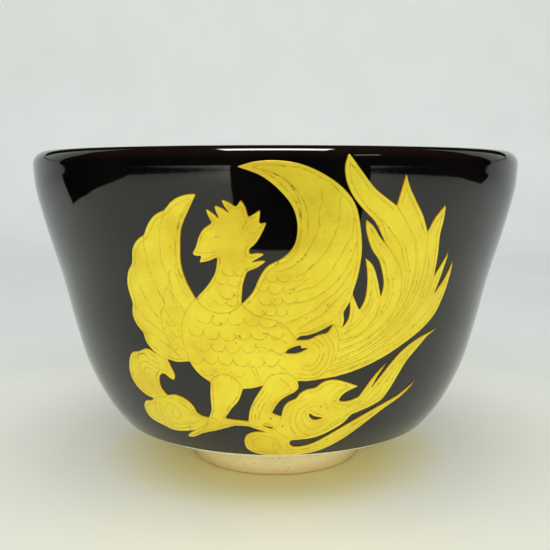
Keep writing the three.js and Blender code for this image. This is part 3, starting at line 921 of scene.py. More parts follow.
# %% One field of gold
def closed_up(mesh):
    """Joins the parts of a field along its foot, and says how many edges stay open."""
    shape = bmesh.new()
    shape.from_mesh(mesh)
    bmesh.ops.remove_doubles(shape, verts=shape.verts, dist=0.0005 * MM)
    open_edges = sum(not edge.is_manifold for edge in shape.edges)
    volume = shape.calc_volume(signed=True) / MM**3
    shape.to_mesh(mesh)
    shape.free()
    return open_edges, volume


def spots(points):
    """Each point as a line of no length, for the distance tool."""
    return [np.array([point, point]) for point in points]


def nearness(distance):
    """1 on a line, falling to 0 at the side of its cut."""
    return np.clip(1 - distance / CUT_HALF, 0, 1)


def gold_field(name, node, strokes, holes=(), cuts=(), border=0.85):
    """One field of raised gold, cut with its lines and laid on the bowl."""
    outlines = [outline_of(strokes), *(outline_of(hole) for hole in holes)]
    loops = [loop for loop, _ in outlines]
    seams = [on_seam for _, on_seam in outlines]
    away = distance_to([closed(loop) for loop in loops])
    free = distance_to(spots(p for loop, on in outlines for p in loop[~on]))
    seam_points = [p for loop, on in outlines for p in loop[on]]
    lines = [smooth_line(c, LINE_STEP) if len(c) < SMOOTH_ALREADY else np.asarray(c) for c in cuts]
    lines += edge_cuts(loops, seams, away, border) if border else []
    lines = [even_steps(line, CUT_STEP) for line in lines]
    lines = [by_hand(line) for line in lines if len(line) > 2]
    beside = distance_to(lines)

    extra, coarse = mesh_points(loops, away, beside, lines)
    flat, faces = triangulated(loops, extra)
    edge = free(flat)
    cut = nearness(beside(flat))
    if seam_points:
        at_seam = distance_to(spots(seam_points))
        cut = np.maximum(cut, SEAM_SHARE * nearness(at_seam(flat)))

    pairs = {pair for a, b, c in faces for pair in ((a, b), (b, c), (c, a))}
    rim = [pair for pair in pairs if pair[::-1] not in pairs]
    rim_points = sorted({i for pair in rim for i in pair})
    under = {top: len(flat) + k for k, top in enumerate(rim_points)}
    walls = sorted((b, a, under[a], under[b]) for a, b in rim)
    floor_flat, floor_faces = triangulated(loops, coarse)
    places = np.vstack(
        [
            on_bowl(flat[:, 0], flat[:, 1], plate_lift(flat, edge, cut)),
            on_bowl(flat[rim_points, 0], flat[rim_points, 1], -SUNK),
            on_bowl(floor_flat[:, 0], floor_flat[:, 1], -SUNK),
        ]
    )
    shift = len(flat) + len(rim_points)
    all_faces = [*faces.tolist(), *walls, *(floor_faces[:, ::-1] + shift).tolist()]
    mesh = bpy.data.meshes.new(name)
    mesh.from_pydata(places.tolist(), [], [tuple(int(i) for i in f) for f in all_faces])
    for key, values in (("cut", cut), ("edge", np.clip(1 - edge / EDGE_BROWNED, 0, 1))):
        layer = mesh.attributes.new(key, "FLOAT", "POINT")
        filled = np.concatenate([values, np.ones(len(places) - len(flat))])
        layer.data.foreach_set("value", filled.astype(np.float32))
    open_edges, volume = closed_up(mesh)
    mesh.polygons.foreach_set("use_smooth", [True] * len(mesh.polygons))
    mesh.materials.append(GOLD)
    measured = f"{volume:.1f} mm3, {open_edges} open edges"
    print(f"{name}: {len(mesh.polygons)} faces, {len(lines)} cuts, {measured}")
    return show(mesh, node)


# %% [markdown]
# ## Line helpers for the engraving
# Some cuts are drawn one by one, and some follow a rule. One helper finds a line between two
# guide lines, and rings, curls and scales are parts of circles and spirals.


# %% Lines between guides, arcs, curls and scales
BETWEEN_POINTS = 60


def between(first, second, share, start, end):
    """A line between two guides, kept from its start to its end as shares of its length."""
    guides = []
    for guide in (first, second):
        line = smooth_line(guide, EDGE_STEP)
        places = np.linspace(0, len(line) - 1, BETWEEN_POINTS)
        at = range(len(line))
        guides.append(np.column_stack([np.interp(places, at, line[:, k]) for k in (0, 1)]))
    a, b = guides
    low, high = round(start * (BETWEEN_POINTS - 1)), round(end * (BETWEEN_POINTS - 1)) + 1
    return (a + (b - a) * share)[low:high]


def arc(centre, radius, start, end, flat=1.0):
    """Part of a circle, its angles in degrees."""
    turn = np.radians(np.linspace(start, end, 14))
    across, up = radius * np.cos(turn), radius * flat * np.sin(turn)
    return np.column_stack([centre[0] + across, centre[1] + up])


def curl(centre, inner, outer, start, turns):
    """A spiral from its inner radius to its outer radius."""
    share = np.linspace(0, 1, 36)
    turn = np.radians(start) + share * turns * 2 * math.pi
    radius = inner + (outer - inner) * share
    return np.column_stack([centre[0] + radius * np.cos(turn), centre[1] + radius * np.sin(turn)])


def scales(rows, columns, corner, across, up, lean=0.0, radius=1.5):
    """Rows of scale arcs like roof tiles, each row half a scale along."""
    made = []
    for j in range(rows):
        for i in range(columns):
            x = corner[0] + (i + 0.5 * (j % 2)) * across + lean * j
            y = corner[1] + j * up
            uneven = noise.noise_vector((x * 0.9, y * 0.9, 11))
            middle = (x + 0.5 * uneven.x, y + 0.5 * uneven.y)
            made.append(arc(middle, radius * (1 + 0.3 * uneven.z), 195, 345, 0.95))
    return made


# %% [markdown]
# ## The near wing
# Five scallops close the wing's outer edge. Long cuts part the flight feathers, and a wavy
# double line parts them from the small coverts over the shoulder.

# %% Near wing
NEAR_WING = [
    [(-13.8, 69.1), (-15.5, 69), (-17.5, 68.4), (-19, 67.4), (-20.3, 66)],
    [(-20.3, 66), (-22.4, 65), (-24.2, 63.2), (-25.5, 61)],
    [(-25.5, 61), (-27.2, 60), (-28.8, 58.2), (-29.8, 55)],
    [(-29.8, 55), (-31.5, 53), (-32.5, 50), (-32.1, 46.3)],
    [(-32.1, 46.3), (-32.8, 43.6), (-32.1, 41.6), (-30.6, 40)],
    [(-30.6, 40), (-30.3, 38.2), (-29.2, 36.6), (-27.8, 35.6)],
    back(CLOUD_ON_WING),
    [(-25.1, 34.6), (-22.4, 34.2), (-19.5, 34.6)],
    back(WING_ROOT),
    [(-16.3, 48.4), (-17.7, 51.5), (-18.4, 55), (-18.1, 58.5), (-17.3, 62.5), (-15.5, 66),
     (-13.8, 69.1)],
]
NEAR_WING_CUTS = [
    [(-20.3, 66), (-21.5, 63), (-22.4, 59), (-22.3, 55), (-21.6, 52), (-21.5, 48), (-20.5, 46)],
    [(-25.5, 61), (-25.9, 58), (-25.8, 54), (-25, 51), (-24.3, 48.5)],
    [(-29.8, 55), (-29.6, 51.8), (-28.6, 48.6), (-27.2, 45.6), (-25.6, 43.6)],
    [(-32.1, 46.3), (-30.6, 44.6), (-28.6, 42.8), (-26.6, 41.6), (-24.6, 40.4)],
    [(-30.6, 40), (-28, 39.8), (-25, 38.2), (-23, 36.8)],
    [(-14.8, 68), (-16.9, 64.5), (-18.7, 60.5), (-19.6, 56.5), (-19.7, 53), (-18.8, 50), (-17.5, 47.8)],
    [(-19.7, 54.5), (-21.3, 53.3), (-21.9, 51.2), (-23, 50), (-23.9, 48), (-23.7, 46.5), (-24.7, 45),
     (-24.9, 42.7), (-24.4, 40), (-23.4, 37.6), (-21.8, 35.6)],
    [(-19.4, 55.6), (-18.4, 52.4), (-16.9, 50)],
    [(-22.6, 50.4), (-20.9, 48), (-19.4, 45.6), (-18.9, 43)],
    [(-24.1, 46), (-22.4, 43.8), (-21, 41)],
    *scales(3, 3, (-22.9, 38.4), 2.3, 2.5, 0.3, 1.3),
]
gold_field("near_wing_gold", "gold_near_wing", NEAR_WING, cuts=NEAR_WING_CUTS)

# %% [markdown]
# ## Head and neck
# A crest of pointed feathers stands behind the brow, two wattle feathers hang from the cheek,
# and the neck is covered in small scales. The eye is one short deep cut.

# %% Head and neck
HEAD_AND_NECK = [
    NECK_ROOT,
    [(-6.8, 47.5), (-6.3, 51.5), (-5.4, 54.1)],
    [(-5.4, 54.1), (-3.3, 55), (-1.6, 56.3)],
    [(-1.6, 56.3), (-2.8, 56.4), (-4.5, 56)],
    [(-4.5, 56), (-3, 56.9), (-1.9, 57.6)],
    [(-1.9, 57.6), (-3.2, 57.9), (-4.8, 57.6)],
    [(-4.8, 57.6), (-4.9, 58.5)],
    [(-4.9, 58.5), (-3.6, 59.7), (-2.6, 61.3), (-1.5, 63.8)],
    [(-1.5, 63.8), (-2.9, 63.5)],
    [(-2.9, 63.5), (-2.6, 66.2)],
    [(-2.6, 66.2), (-4.8, 64.7)],
    [(-4.8, 64.7), (-5.2, 66.6), (-6, 68.1)],
    [(-6, 68.1), (-6.9, 66.6)],
    [(-6.9, 66.6), (-8, 67.5), (-9.5, 68.1)],
    [(-9.5, 68.1), (-8.9, 66.6), (-8.1, 65.5)],
    [(-8.1, 65.5), (-9.4, 66.5), (-10.8, 67)],
    [(-10.8, 67), (-10.5, 65.6), (-10, 64.4)],
    [(-10, 64.4), (-11.2, 65.6), (-12.4, 66.4)],
    [(-12.4, 66.4), (-12, 64.9), (-11.4, 63.6)],
    [(-11.4, 63.6), (-13.2, 62.4), (-14.4, 60.4), (-15, 58.8), (-15.9, 57.5)],
    [(-15.9, 57.5), (-15.2, 57), (-14, 57.2)],
    [(-14, 57.2), (-14.7, 55.7)],
    [(-14.7, 55.7), (-13, 56), (-10.9, 56.9)],
    [(-10.9, 56.9), (-11.8, 53.6), (-13.8, 50.8), (-16.3, 48.4)],
]
HEAD_CUTS = [
    [(-11.1, 61), (-10.6, 61.25), (-10, 61)],
    [(-11.1, 61), (-10.5, 60.8), (-10, 61)],
    [(-4.6, 66.4), (-4.8, 64.6), (-5.6, 62.8)],
    [(-1.6, 64.2), (-2.6, 62.9), (-3.9, 61.6)],
    [(-15, 57.9), (-13.4, 57.9), (-11.6, 57.8)],
    *scales(4, 2, (-10.9, 48.4), 2.4, 2, 0.25, 1.35),
]
gold_field("head_and_neck_gold", "gold_head_and_neck", HEAD_AND_NECK, cuts=HEAD_CUTS, border=0.6)

# %% [markdown]
# ## The far wing
# The far wing is one sickle. Its flight feathers sweep from the outer edge to the root, and a
# long cut beside its inner edge follows two guide lines. Scales cover the shoulder.

# %% Far wing
FAR_WING = [
    FAR_WING_ROOT,
    [(4.4, 40), (5, 40.7), (6.8, 40.9), (9.5, 41.8), (12, 43.1)],
    WING_ON_TAIL_LOW,
    [(14.1, 42.4), (14.4, 44), (14, 45.4)],
    [(14, 45.4), (15.2, 47.6)],
    WING_ON_TAIL_HIGH,
    [(15.6, 49.3), (16.3, 53.2), (16.4, 58), (15.5, 63), (14.2, 67), (12, 69.9), (8.5, 72.6),
     (4.5, 74.5), (0.5, 75.2), (-3.5, 75), (-6.7, 74.1)],
    [(-6.7, 74.1), (-2.5, 72.4), (0.8, 69.6), (3.1, 66.3), (3.9, 62.5), (3.3, 59.2), (1.3, 56.9),
     (-1.5, 55.3), (-3, 53.2), (-4.5, 50), (-6.8, 47.5)],
]
WING_INNER = [(-5, 73.9), (-1.5, 73), (2, 70.7), (4.3, 66.5), (4.8, 62.5), (3.9, 58.9), (1.4, 56.6)]
WING_OUTER = [(-3, 74.6), (4, 74.2), (11, 70), (15, 63), (15.6, 54), (11.5, 45.8), (3.2, 42.2)]
FAR_WING_CUTS = [
    [(-5, 73.8), (-2, 73.4), (1, 72), (3, 70), (4.2, 67), (4.7, 63.5), (4.4, 61), (3.5, 58.7),
     (1.5, 57)],
    [(7.8, 70), (7.8, 66), (7.4, 62), (6.2, 59), (5, 57), (3.3, 55.7)],
    [(11.2, 68.3), (11.2, 64), (10.8, 61.5), (9.8, 59), (8.5, 57), (6.4, 54.6), (4.2, 53.2)],
    [(13.9, 65.5), (14, 62), (13.3, 59.5), (12.2, 57), (10, 53.5), (8, 51.5), (4.5, 50.2)],
    [(15.2, 60), (14.6, 57), (12.8, 53.5), (9, 49.6), (5, 48), (3, 47.5)],
    [(14.7, 54), (12, 50), (8, 46.6), (4, 44.3), (2.6, 44)],
    [(14.2, 50.4), (10, 45.8), (6.4, 43.4), (5, 42.6)],
    between(WING_INNER, WING_OUTER, 0.1, 0.05, 0.7),
    [(4.6, 56.6), (2.6, 55), (0.6, 54.4)],
    [(6, 52.4), (3.6, 50.9), (1.4, 50.5)],
    *scales(4, 3, (-3.6, 46.4), 2.5, 2.4, 0.5, 1.4),
]
gold_field("far_wing_gold", "gold_far_wing", FAR_WING, cuts=FAR_WING_CUTS)

# %% [markdown]
# ## The breast
# The breast and belly carry the largest scales, in rows like roof tiles. Towards the rump they
# give way to rings, and each thigh is outlined twice. A small slit over the rump is left open,
# and the black glaze shows through it.

# %% Breast
BREAST = [
    WING_ROOT,
    [(-19.5, 34.6), (-18.5, 33), (-17, 31.5), (-15, 30.3)],
    LEFT_THIGH,
    [(-7.4, 29.1), (-5, 29.4), (-2.8, 30)],
    RIGHT_THIGH,
    [(5, 31), (7, 30.9), (9, 31.1)],
    *(back(stretch) for stretch in RUMP[::-1]),
    [(12, 43.1), (10.9, 41.3)],
    [(10.9, 41.3), (9, 41), (7, 40.1), (4.4, 40)],
    back(FAR_WING_ROOT),
    back(NECK_ROOT),
]
BREAST_SLIT = [
    [(2, 37.2), (3.2, 38.2), (5.5, 38.9)],
    [(5.5, 38.9), (5.2, 38.1)],
    [(5.2, 38.1), (7, 38.2)],
    [(7, 38.2), (4.6, 37.2), (2, 37.2)],
]
BREAST_CUTS = [
    *scales(4, 6, (-17.8, 36), 3.4, 2.9, 0.35, 1.85),
    *scales(1, 3, (-15, 33.2), 3.4, 1, 0, 1.6),
    *(arc((7, 37), radius, -110, 70) for radius in (2.7, 3.6, 4.7, 5.6)),
    [(-5, 34.5), (-3.8, 32), (-2.6, 30.5)],
    [(-5.9, 34.8), (-4.7, 32.2), (-3.4, 30.4)],
    [(1, 34.6), (2.5, 33.4), (4.3, 31.6)],
    [(-4.4, 38.6), (-1.2, 38.2), (1.4, 36.8)],
    [(-2.6, 41.4), (0.2, 40.6), (2.2, 39.4)],
]
gold_field("breast_gold", "gold_breast", BREAST, [BREAST_SLIT], BREAST_CUTS, border=0)

# %% [markdown]
# ## The tail
# Six plumes fan out of the rump. Each has a quill down its middle and a second cut beside it
# that runs on towards the tip, so both come from one drawn line.

# %% Tail
PLUMES = [
    [
        RIB[0],
        [(22, 48.5), (20.6, 52.2), (19, 55.2), (17.2, 56.7)],
        [(17.2, 56.7), (18.1, 53.5), (18.5, 50.5), (18.4, 48), (17.5, 45.8)],
        [(17.5, 45.8), (15.6, 49.3)],
        back(WING_ON_TAIL_HIGH),
        [(15.2, 47.6), (15.4, 45.6), (15.1, 43.8), (14.1, 42.4)],
        back(WING_ON_TAIL_LOW),
        RUMP[0],
    ],
    [
        RIB[1],
        [(20.9, 59.5), (19.5, 61), (18.2, 62.8), (16.4, 64.3)],
        [(16.4, 64.3), (16.7, 62), (18.4, 58.2), (20.2, 56), (21.5, 53.2), (22.2, 50.8), (22, 48.5)],
        back(RIB[0]),
        RUMP[1],
    ],
    [
        RIB[2],
        [(22.2, 66.8), (20, 68.3), (17.5, 70.2), (15, 73.3), (12.6, 76.6)],
        [(12.6, 76.6), (11.9, 74.5), (12.2, 71.5), (13.5, 68.7), (15.6, 66.2), (18.2, 63.7),
         (20.9, 59.5)],
        back(RIB[1]),
        RUMP[2],
    ],
    [
        RIB[3],
        [(30.3, 61.4), (28.5, 64.6), (26, 68), (24.4, 70.6), (23.6, 72.9)],
        [(23.6, 72.9), (22.8, 70), (22.2, 66.8)],
        back(RIB[2]),
        RUMP[3],
    ],
    [
        RIB[4],
        [(35, 51.8), (34.6, 56), (33.8, 60.5), (33.9, 64), (33.6, 66.8)],
        [(33.6, 66.8), (31.6, 64.3), (30.3, 61.4)],
        back(RIB[3]),
        RUMP[4],
    ],
    [
        [(9, 31.1), (14, 31.7), (19, 32.9), (25, 35.1), (30, 37.6), (35, 40.5), (38.2, 43.5),
         (39.8, 47.5), (40.2, 51), (39.9, 54.9)],
        [(39.9, 54.9), (38.9, 51.5), (36.4, 47.8)],
        [(36.4, 47.8), (37.2, 52), (37.7, 57)],
        [(37.7, 57), (36.3, 54.2), (35, 51.8)],
        back(RIB[4]),
        RUMP[5],
    ],
]
QUILLS = [
    [(14.2, 40.9), (17, 42.4), (19.3, 44.8), (20.2, 47.5), (20.2, 50.5), (19, 54)],
    [(14.6, 38.9), (19, 41), (22.4, 43.8), (24, 47), (24.3, 50.2), (23.2, 53.8), (21, 57),
     (18.9, 60), (17.4, 62.6)],
    [(14.5, 36.9), (20, 39.4), (24.8, 43), (27.3, 47), (28, 51), (27.2, 55), (25.2, 58.8), (22.3, 62.4),
     (18.8, 65.6), (15.8, 68.6), (14, 71.5), (13, 74.2)],
    [(14.2, 35.3), (20, 37.8), (25, 41.3), (28.8, 45.6), (30.2, 50), (30.1, 54.5), (29, 59), (26.9, 63),
     (24.8, 66.8), (23.7, 70)],
    [(13.5, 34), (19, 35.8), (25, 39), (29.8, 42.8), (32.6, 47), (33.4, 51.5), (33, 56),
     (32.2, 60), (32.7, 64)],
    [(12, 32.6), (17, 33.6), (23, 35.6), (29, 38.6), (33.8, 41.8), (36.8, 45), (38.4, 48.5),
     (39.2, 51.5)],
]
QUILL_END = 0.62  # shares of the drawn line
BESIDE_START, BESIDE_END = 0.12, 0.8
BESIDE_AWAY = 0.75


for number, (plume, drawn) in enumerate(zip(PLUMES, QUILLS), 1):
    line = smooth_line(drawn, EDGE_STEP)
    quill = line[: round(len(line) * QUILL_END)]
    stretch = line[round(len(line) * BESIDE_START) : round(len(line) * BESIDE_END)]
    plume_cuts = [quill, moved_left(stretch, BESIDE_AWAY)]
    gold_field(f"tail_plume_{number}_gold", f"gold_tail_plume_{number}", plume, cuts=plume_cuts)

# %% [markdown]
# ## Legs and claws
# The legs stride to the left. Long cuts follow the shanks, and two slots between the toes go
# through to the black glaze.

# %% Legs
LEFT_LEG = [
    [(-15, 30.3), (-15.5, 27), (-15.9, 23.6), (-17, 21.7)],
    CLAW_ON_CLOUD,
    [(-22.1, 17.8), (-23.9, 17), (-25.6, 15.7)],
    [(-25.6, 15.7), (-23.5, 15.8), (-20, 17.2), (-15, 18.6), (-10.3, 20.1)],
    [(-10.3, 20.1), (-6.8, 20.1)],
    CLAWS_CROSS,
    [(-6.8, 21.4), (-12.6, 21.8)],
    [(-12.6, 21.8), (-10.5, 24.4), (-8.6, 26.4), (-7.4, 29.1)],
    back(LEFT_THIGH),
]
RIGHT_LEG = [
    [(-2.8, 30), (-4.8, 27), (-6.2, 24.2), (-6.8, 21.4)],
    back(CLAWS_CROSS),
    [(-6.8, 20.1), (-5.2, 19.5), (-2.5, 18.7)],
    FOOT_ON_LOW_CLOUD,
    FOOT_ON_RIGHT_CLOUD,
    [(1.4, 22.8), (-0.9, 23.6)],
    [(-0.9, 23.6), (0.9, 26.3), (2.6, 27.6), (4.6, 28.6), (5.3, 29.5), (5, 31)],
    back(RIGHT_THIGH),
]
LEFT_LEG_CUTS = [
    [(-8.3, 29.6), (-8.8, 27.6), (-10.2, 25.6), (-12, 23.8)],
    [(-14.4, 29), (-14.9, 26), (-15.2, 23.2)],
    [(-15.6, 21.6), (-14, 20.6), (-12.6, 22.4), (-11.4, 24.4)],
    [(-17.4, 20.2), (-19.6, 18.4), (-22.4, 17.1)],
    [(-14.4, 19.8), (-11.6, 20.4), (-8, 20.7)],
]
TOE_SLOTS = [
    [[(-1.6, 22.5), (-1.1, 22.45), (-0.6, 22.1)], [(-0.6, 22.1), (-1.1, 22.2), (-1.6, 22.5)]],
    [
        [(-3.2, 20.4), (-1.7, 20.1), (-0.4, 19.9)],
        [(-0.4, 19.9), (-0.6, 19.66), (-1.8, 19.86), (-3.2, 20.4)],
    ],
]
RIGHT_LEG_CUTS = [
    [(-2.6, 28.8), (-4.2, 26.4), (-5.5, 23.8), (-6, 21.6)],
    [(-2, 28.2), (-3.6, 25.8), (-4.7, 23.4), (-5.2, 21.4)],
    [(-1, 28), (-2.6, 25.6), (-3.7, 23.6), (-4.2, 22)],
    [(-2.6, 21.2), (-2.1, 21.15), (-1.6, 20.95)],
    [(1.2, 31.6), (2.8, 30.4), (3.6, 29)],
]
gold_field("left_leg_gold", "gold_left_leg", LEFT_LEG, cuts=LEFT_LEG_CUTS, border=0.6)
gold_field("right_leg_gold", "gold_right_leg", RIGHT_LEG, TOE_SLOTS, RIGHT_LEG_CUTS, border=0.6)

# %% [markdown]
# ## The clouds
# Four clouds carry the bird. Their curled heads are cut as hooks, rings and parts of spirals.
# The two on the right have long streamers that trail off to the right, with cuts down them.

# %% Clouds
UPPER_LEFT_CLOUD = [
    [(-27.8, 35.6), (-30.4, 36.5), (-33, 35.6)],
    [(-33, 35.6), (-35.6, 34.9), (-37.2, 32.8), (-38, 29.8), (-37, 27), (-34.8, 25.3), (-32.1, 24.5)],
    LEFT_CLOUDS,
    [(-27.3, 26.1), (-28.4, 27.4), (-28.7, 29), (-28.1, 30.6), (-26.8, 31.2), (-25.6, 30.4),
     (-24.4, 29.8)],
    [(-24.4, 29.8), (-23.8, 31), (-24.4, 32.8), (-25.1, 34.6)],
    CLOUD_ON_WING,
]
LOWER_LEFT_CLOUD = [
    [(-32.1, 24.5), (-33.2, 24)],
    [(-33.2, 24), (-35.6, 23.5), (-37.2, 21.5), (-36.8, 19.2), (-34.5, 18.1), (-32.5, 17.6)],
    [(-32.5, 17.6), (-30, 16.9), (-26.5, 17), (-22.1, 17.8)],
    back(CLAW_ON_CLOUD),
    [(-17, 21.7), (-18.6, 21.9), (-20, 22.6)],
    [(-20, 22.6), (-20.5, 24.2), (-22, 25.6), (-24.6, 26.5), (-27.3, 26.1)],
    back(LEFT_CLOUDS),
]
RIGHT_CLOUD = [
    back(FOOT_ON_RIGHT_CLOUD),
    RIGHT_CLOUDS,
    [(4.2, 16.4), (8, 16.6), (11.5, 17.2), (14.5, 18.4), (17.8, 20.4), (19.2, 22.2)],
    [(19.2, 22.2), (22, 23), (25, 24), (27, 25), (28.3, 26.8), (30, 30), (32, 33.4), (34.5, 36),
     (37.3, 38.6)],
    [(37.3, 38.6), (40.4, 39.9)],
    [(40.4, 39.9), (36.5, 39), (33, 37.8), (29.5, 35.6), (27, 33), (25, 30.6), (23, 28.2)],
    [(23, 28.2), (24.6, 31.3), (26.3, 33.8)],
    [(26.3, 33.8), (23.5, 31.2), (21.6, 28.6), (20.2, 26.4)],
    [(20.2, 26.4), (17.5, 25.7), (15.2, 25.9)],
    [(15.2, 25.9), (15.6, 27), (17.2, 28.1), (19.8, 29)],
    [(19.8, 29), (16.2, 30.3), (13.5, 31), (11, 30.7), (9, 29.3)],
    [(9, 29.3), (7.2, 29.1), (5.6, 28.2), (4.8, 27)],
    [(4.8, 27), (3, 26.3), (1.9, 25), (1.4, 22.8)],
]
RIGHT_CLOUD_EYE = [
    [(8.1, 23.4), (9.6, 22.5), (11.9, 22)],
    [(11.9, 22), (9.9, 21.6), (8.7, 22.1), (8.1, 23.4)],
]
LOW_CLOUD = [
    [(-2.5, 18.7), (-5.4, 18.7), (-7.6, 17.8), (-8.6, 15.8), (-8.3, 13.9)],
    [(-8.3, 13.9), (-6.5, 12.8), (-3.5, 12.1), (2, 11.9), (8, 12.1), (13, 13), (17.5, 15),
     (21.5, 17.6), (25.5, 20.5), (29, 22.8), (33, 24.9), (35.5, 26.9), (36.9, 28.4)],
    [(36.9, 28.4), (34.5, 26.8), (32, 25.4), (28, 23.9), (23, 21.8), (18.5, 19.6), (15, 17.7),
     (11.5, 15.8), (8.8, 14.8), (6, 14.5), (4.6, 14.7), (3.8, 15.5), (4.2, 16.4)],
    back(RIGHT_CLOUDS),
    back(FOOT_ON_LOW_CLOUD),
]
UPPER_LEFT_CUTS = [
    [(-29.6, 26), (-31.8, 28), (-32.9, 30.2), (-32.4, 31.6), (-31.1, 31.9), (-29.8, 31.2)],
    [(-30.6, 25.9), (-33, 27.8), (-34.2, 30.4), (-33.7, 32.5), (-32, 33.3), (-29.6, 32.6),
     (-27.6, 32.2)],
    [(-35.2, 34.2), (-34.1, 33.9), (-33.2, 35.1), (-31.6, 35), (-30.2, 34.1), (-27.6, 33.6)],
    [(-30.9, 27.9), (-31.7, 29.6), (-31.3, 30.7), (-30.4, 30.6)],
]
LOWER_LEFT_CUTS = [
    curl((-26.8, 21.8), 0.6, 2.6, 150, 1.05),
    [(-30.8, 23.6), (-31.4, 21.6), (-30.2, 19.8), (-27.4, 18.9), (-24, 19.2), (-20.6, 20.4)],
    [(-32.6, 22.6), (-33, 21), (-31.6, 19.2), (-29, 18.3)],
    [(-25.2, 25.2), (-23, 24), (-21.6, 22.2)],
]
RIGHT_CUTS = [
    curl((9.6, 22.6), 2.6, 3.6, 100, 0.62),
    curl((9.4, 22.4), 3.9, 5, 110, 0.55),
    curl((9.2, 22.4), 5.2, 6.3, 120, 0.45),
    [(17.6, 28.9), (15.2, 28.4), (13.8, 27), (13.6, 25.4), (14.6, 24.2), (16.8, 24)],
    [(16.6, 29.6), (13.8, 29.4), (12, 27.6), (12, 25.4), (13.2, 23.6)],
    [(13.4, 19.2), (16.6, 21.6), (20.4, 23.8), (24.4, 26), (27.2, 29.6), (30.2, 33.6),
     (34, 36.8), (38.2, 39)],
    [(18, 24.4), (21.6, 25.6), (24.6, 28.4), (27.6, 31.8), (31.4, 35.2), (35.4, 37.8)],
]
LOW_CUTS = [
    *(arc((2.6, 15.4), radius, 140, 235) for radius in (1.6, 2.5, 3.4)),
    [(-0.4, 17.4), (-2.8, 17.6), (-5.4, 16.8), (-6.4, 15.4), (-5.4, 14.4), (-2, 13.7), (3, 13.5)],
    [(3, 13.5), (7, 13.5), (11.4, 14.3), (16.4, 16.6), (21, 19.6), (26, 22), (31, 24.4), (35, 26.9)],
]
gold_field("upper_left_cloud_gold", "gold_cloud_upper_left", UPPER_LEFT_CLOUD, cuts=UPPER_LEFT_CUTS)
gold_field("lower_left_cloud_gold", "gold_cloud_lower_left", LOWER_LEFT_CLOUD, cuts=LOWER_LEFT_CUTS)
gold_field("right_cloud_gold", "gold_cloud_right", RIGHT_CLOUD, [RIGHT_CLOUD_EYE], RIGHT_CUTS)
gold_field("low_cloud_gold", "gold_cloud_low", LOW_CLOUD, cuts=LOW_CUTS)

# %% [markdown]
# ## The table and the light
# Black glass shows its surroundings, so the setting matters as much as the glaze. The bowl
# stands on a pale table, round in front. Past its edge the room is dark, and that mirrors as the
# dark band under the lip. A low backdrop and two side screens close the room behind, and a wide
# floor lies just under the table, which the glaze does not see.
#
# Round the bowl the table carries painted light: a brighter ring close round it, and under it a painted
# warm shadow, the colour of light bounced off gold and clay. The colours follow the distance from the
# middle of the bowl.


# %% Table finish
# Painted light close round the bowl, and painted warm shadow under it.
TABLE_PAINTED_LIGHT = (0.98, 0.98, 0.88)  # close round the bowl
TABLE_PAINTED_WARM_SHADOW = (0.84, 0.76, 0.36)  # under it


def pale_finish(name, near, far):
    """A pale surface that goes from one colour to another behind the bowl, with painted light and
    painted warm shadow round the bowl.
    """
    finish, tree, shader = new_finish(name)
    links = {0: own_place(tree)}
    reach = add_node(tree, "ShaderNodeVectorMath", links=links, operation="LENGTH").outputs["Value"]
    cloudy = spread(tree, object_noise(tree, 14, 5, 0.55), 0.35, 0.7, 0, 0.5)
    base = mix(tree, spread(tree, own_axis(tree, "Y"), 0.02, 0.16, 0, 1), near, far)
    patchy = mix(tree, cloudy, base, tuple(min(1, c * 1.08) for c in far))
    # painted light: the table is brighter in a ring close round the bowl
    bright = mix(tree, spread(tree, reach, 0.060, 0.13, 1, 0), patchy, TABLE_PAINTED_LIGHT)
    # painted shadow: warmer and a little darker under the bowl
    painted_warm_shadow = mix(tree, spread(tree, reach, 0.026, 0.047, 0.85, 0), bright, TABLE_PAINTED_WARM_SHADOW)
    tree.links.new(painted_warm_shadow, shader.inputs["Base Color"])
    shader.inputs["Roughness"].default_value = 0.7
    shader.inputs["Specular IOR Level"].default_value = 0.2
    return finish


PALE = pale_finish("pale_table", (0.80, 0.815, 0.72), (0.82, 0.845, 0.83))

# %% [markdown]
# The stage is a few plain sheets. One helper makes a sheet from its points and faces and marks
# it as stage, so it is never taken for a piece of the bowl. All stage sizes are in metres.


# %% Table, backdrop and screens
TABLE_REACH = 0.88  # radius of the round front
LEFT_END = [(-1.4, 0.48, 0), (-0.28, 0.04, 0), (-0.31, -0.02, 0)]
RIGHT_END = [(0.59, 0.11, 0), (1.8, 0.68, 0)]
FRONT_FROM, FRONT_TO = 205, 356  # degrees
BACK_START = 0.5  # where the table begins to bend up into the backdrop
BACK_BEND = 0.2
BACK_TOP = 0.33
BACK_HALF_WIDTH = 1.8
SCREEN_LOW, SCREEN_TOP = 0.3, 1.2
FLOOR_REACH = 3
FLOOR_UNDER = -0.0006


def sheet(name, points, faces, finish, smooth=False):
    """A thin stage sheet."""
    mesh = bpy.data.meshes.new(name)
    mesh.from_pydata(points, [], faces)
    mesh.polygons.foreach_set("use_smooth", [smooth] * len(faces))
    mesh.materials.append(finish)
    made = bpy.data.objects.new(name, mesh)
    bpy.context.scene.collection.objects.link(made)
    return made


def flat_sheet(name, corners, finish):
    return sheet(name, corners, [tuple(range(len(corners)))], finish)


def strip(name, line, half_width, finish):
    """A sheet that follows a line of (depth, height) points."""
    points = [(side * half_width, y, z) for y, z in line for side in (-1, 1)]
    faces = [(2 * i, 2 * i + 1, 2 * i + 3, 2 * i + 2) for i in range(len(line) - 1)]
    return sheet(name, points, faces, finish, True)


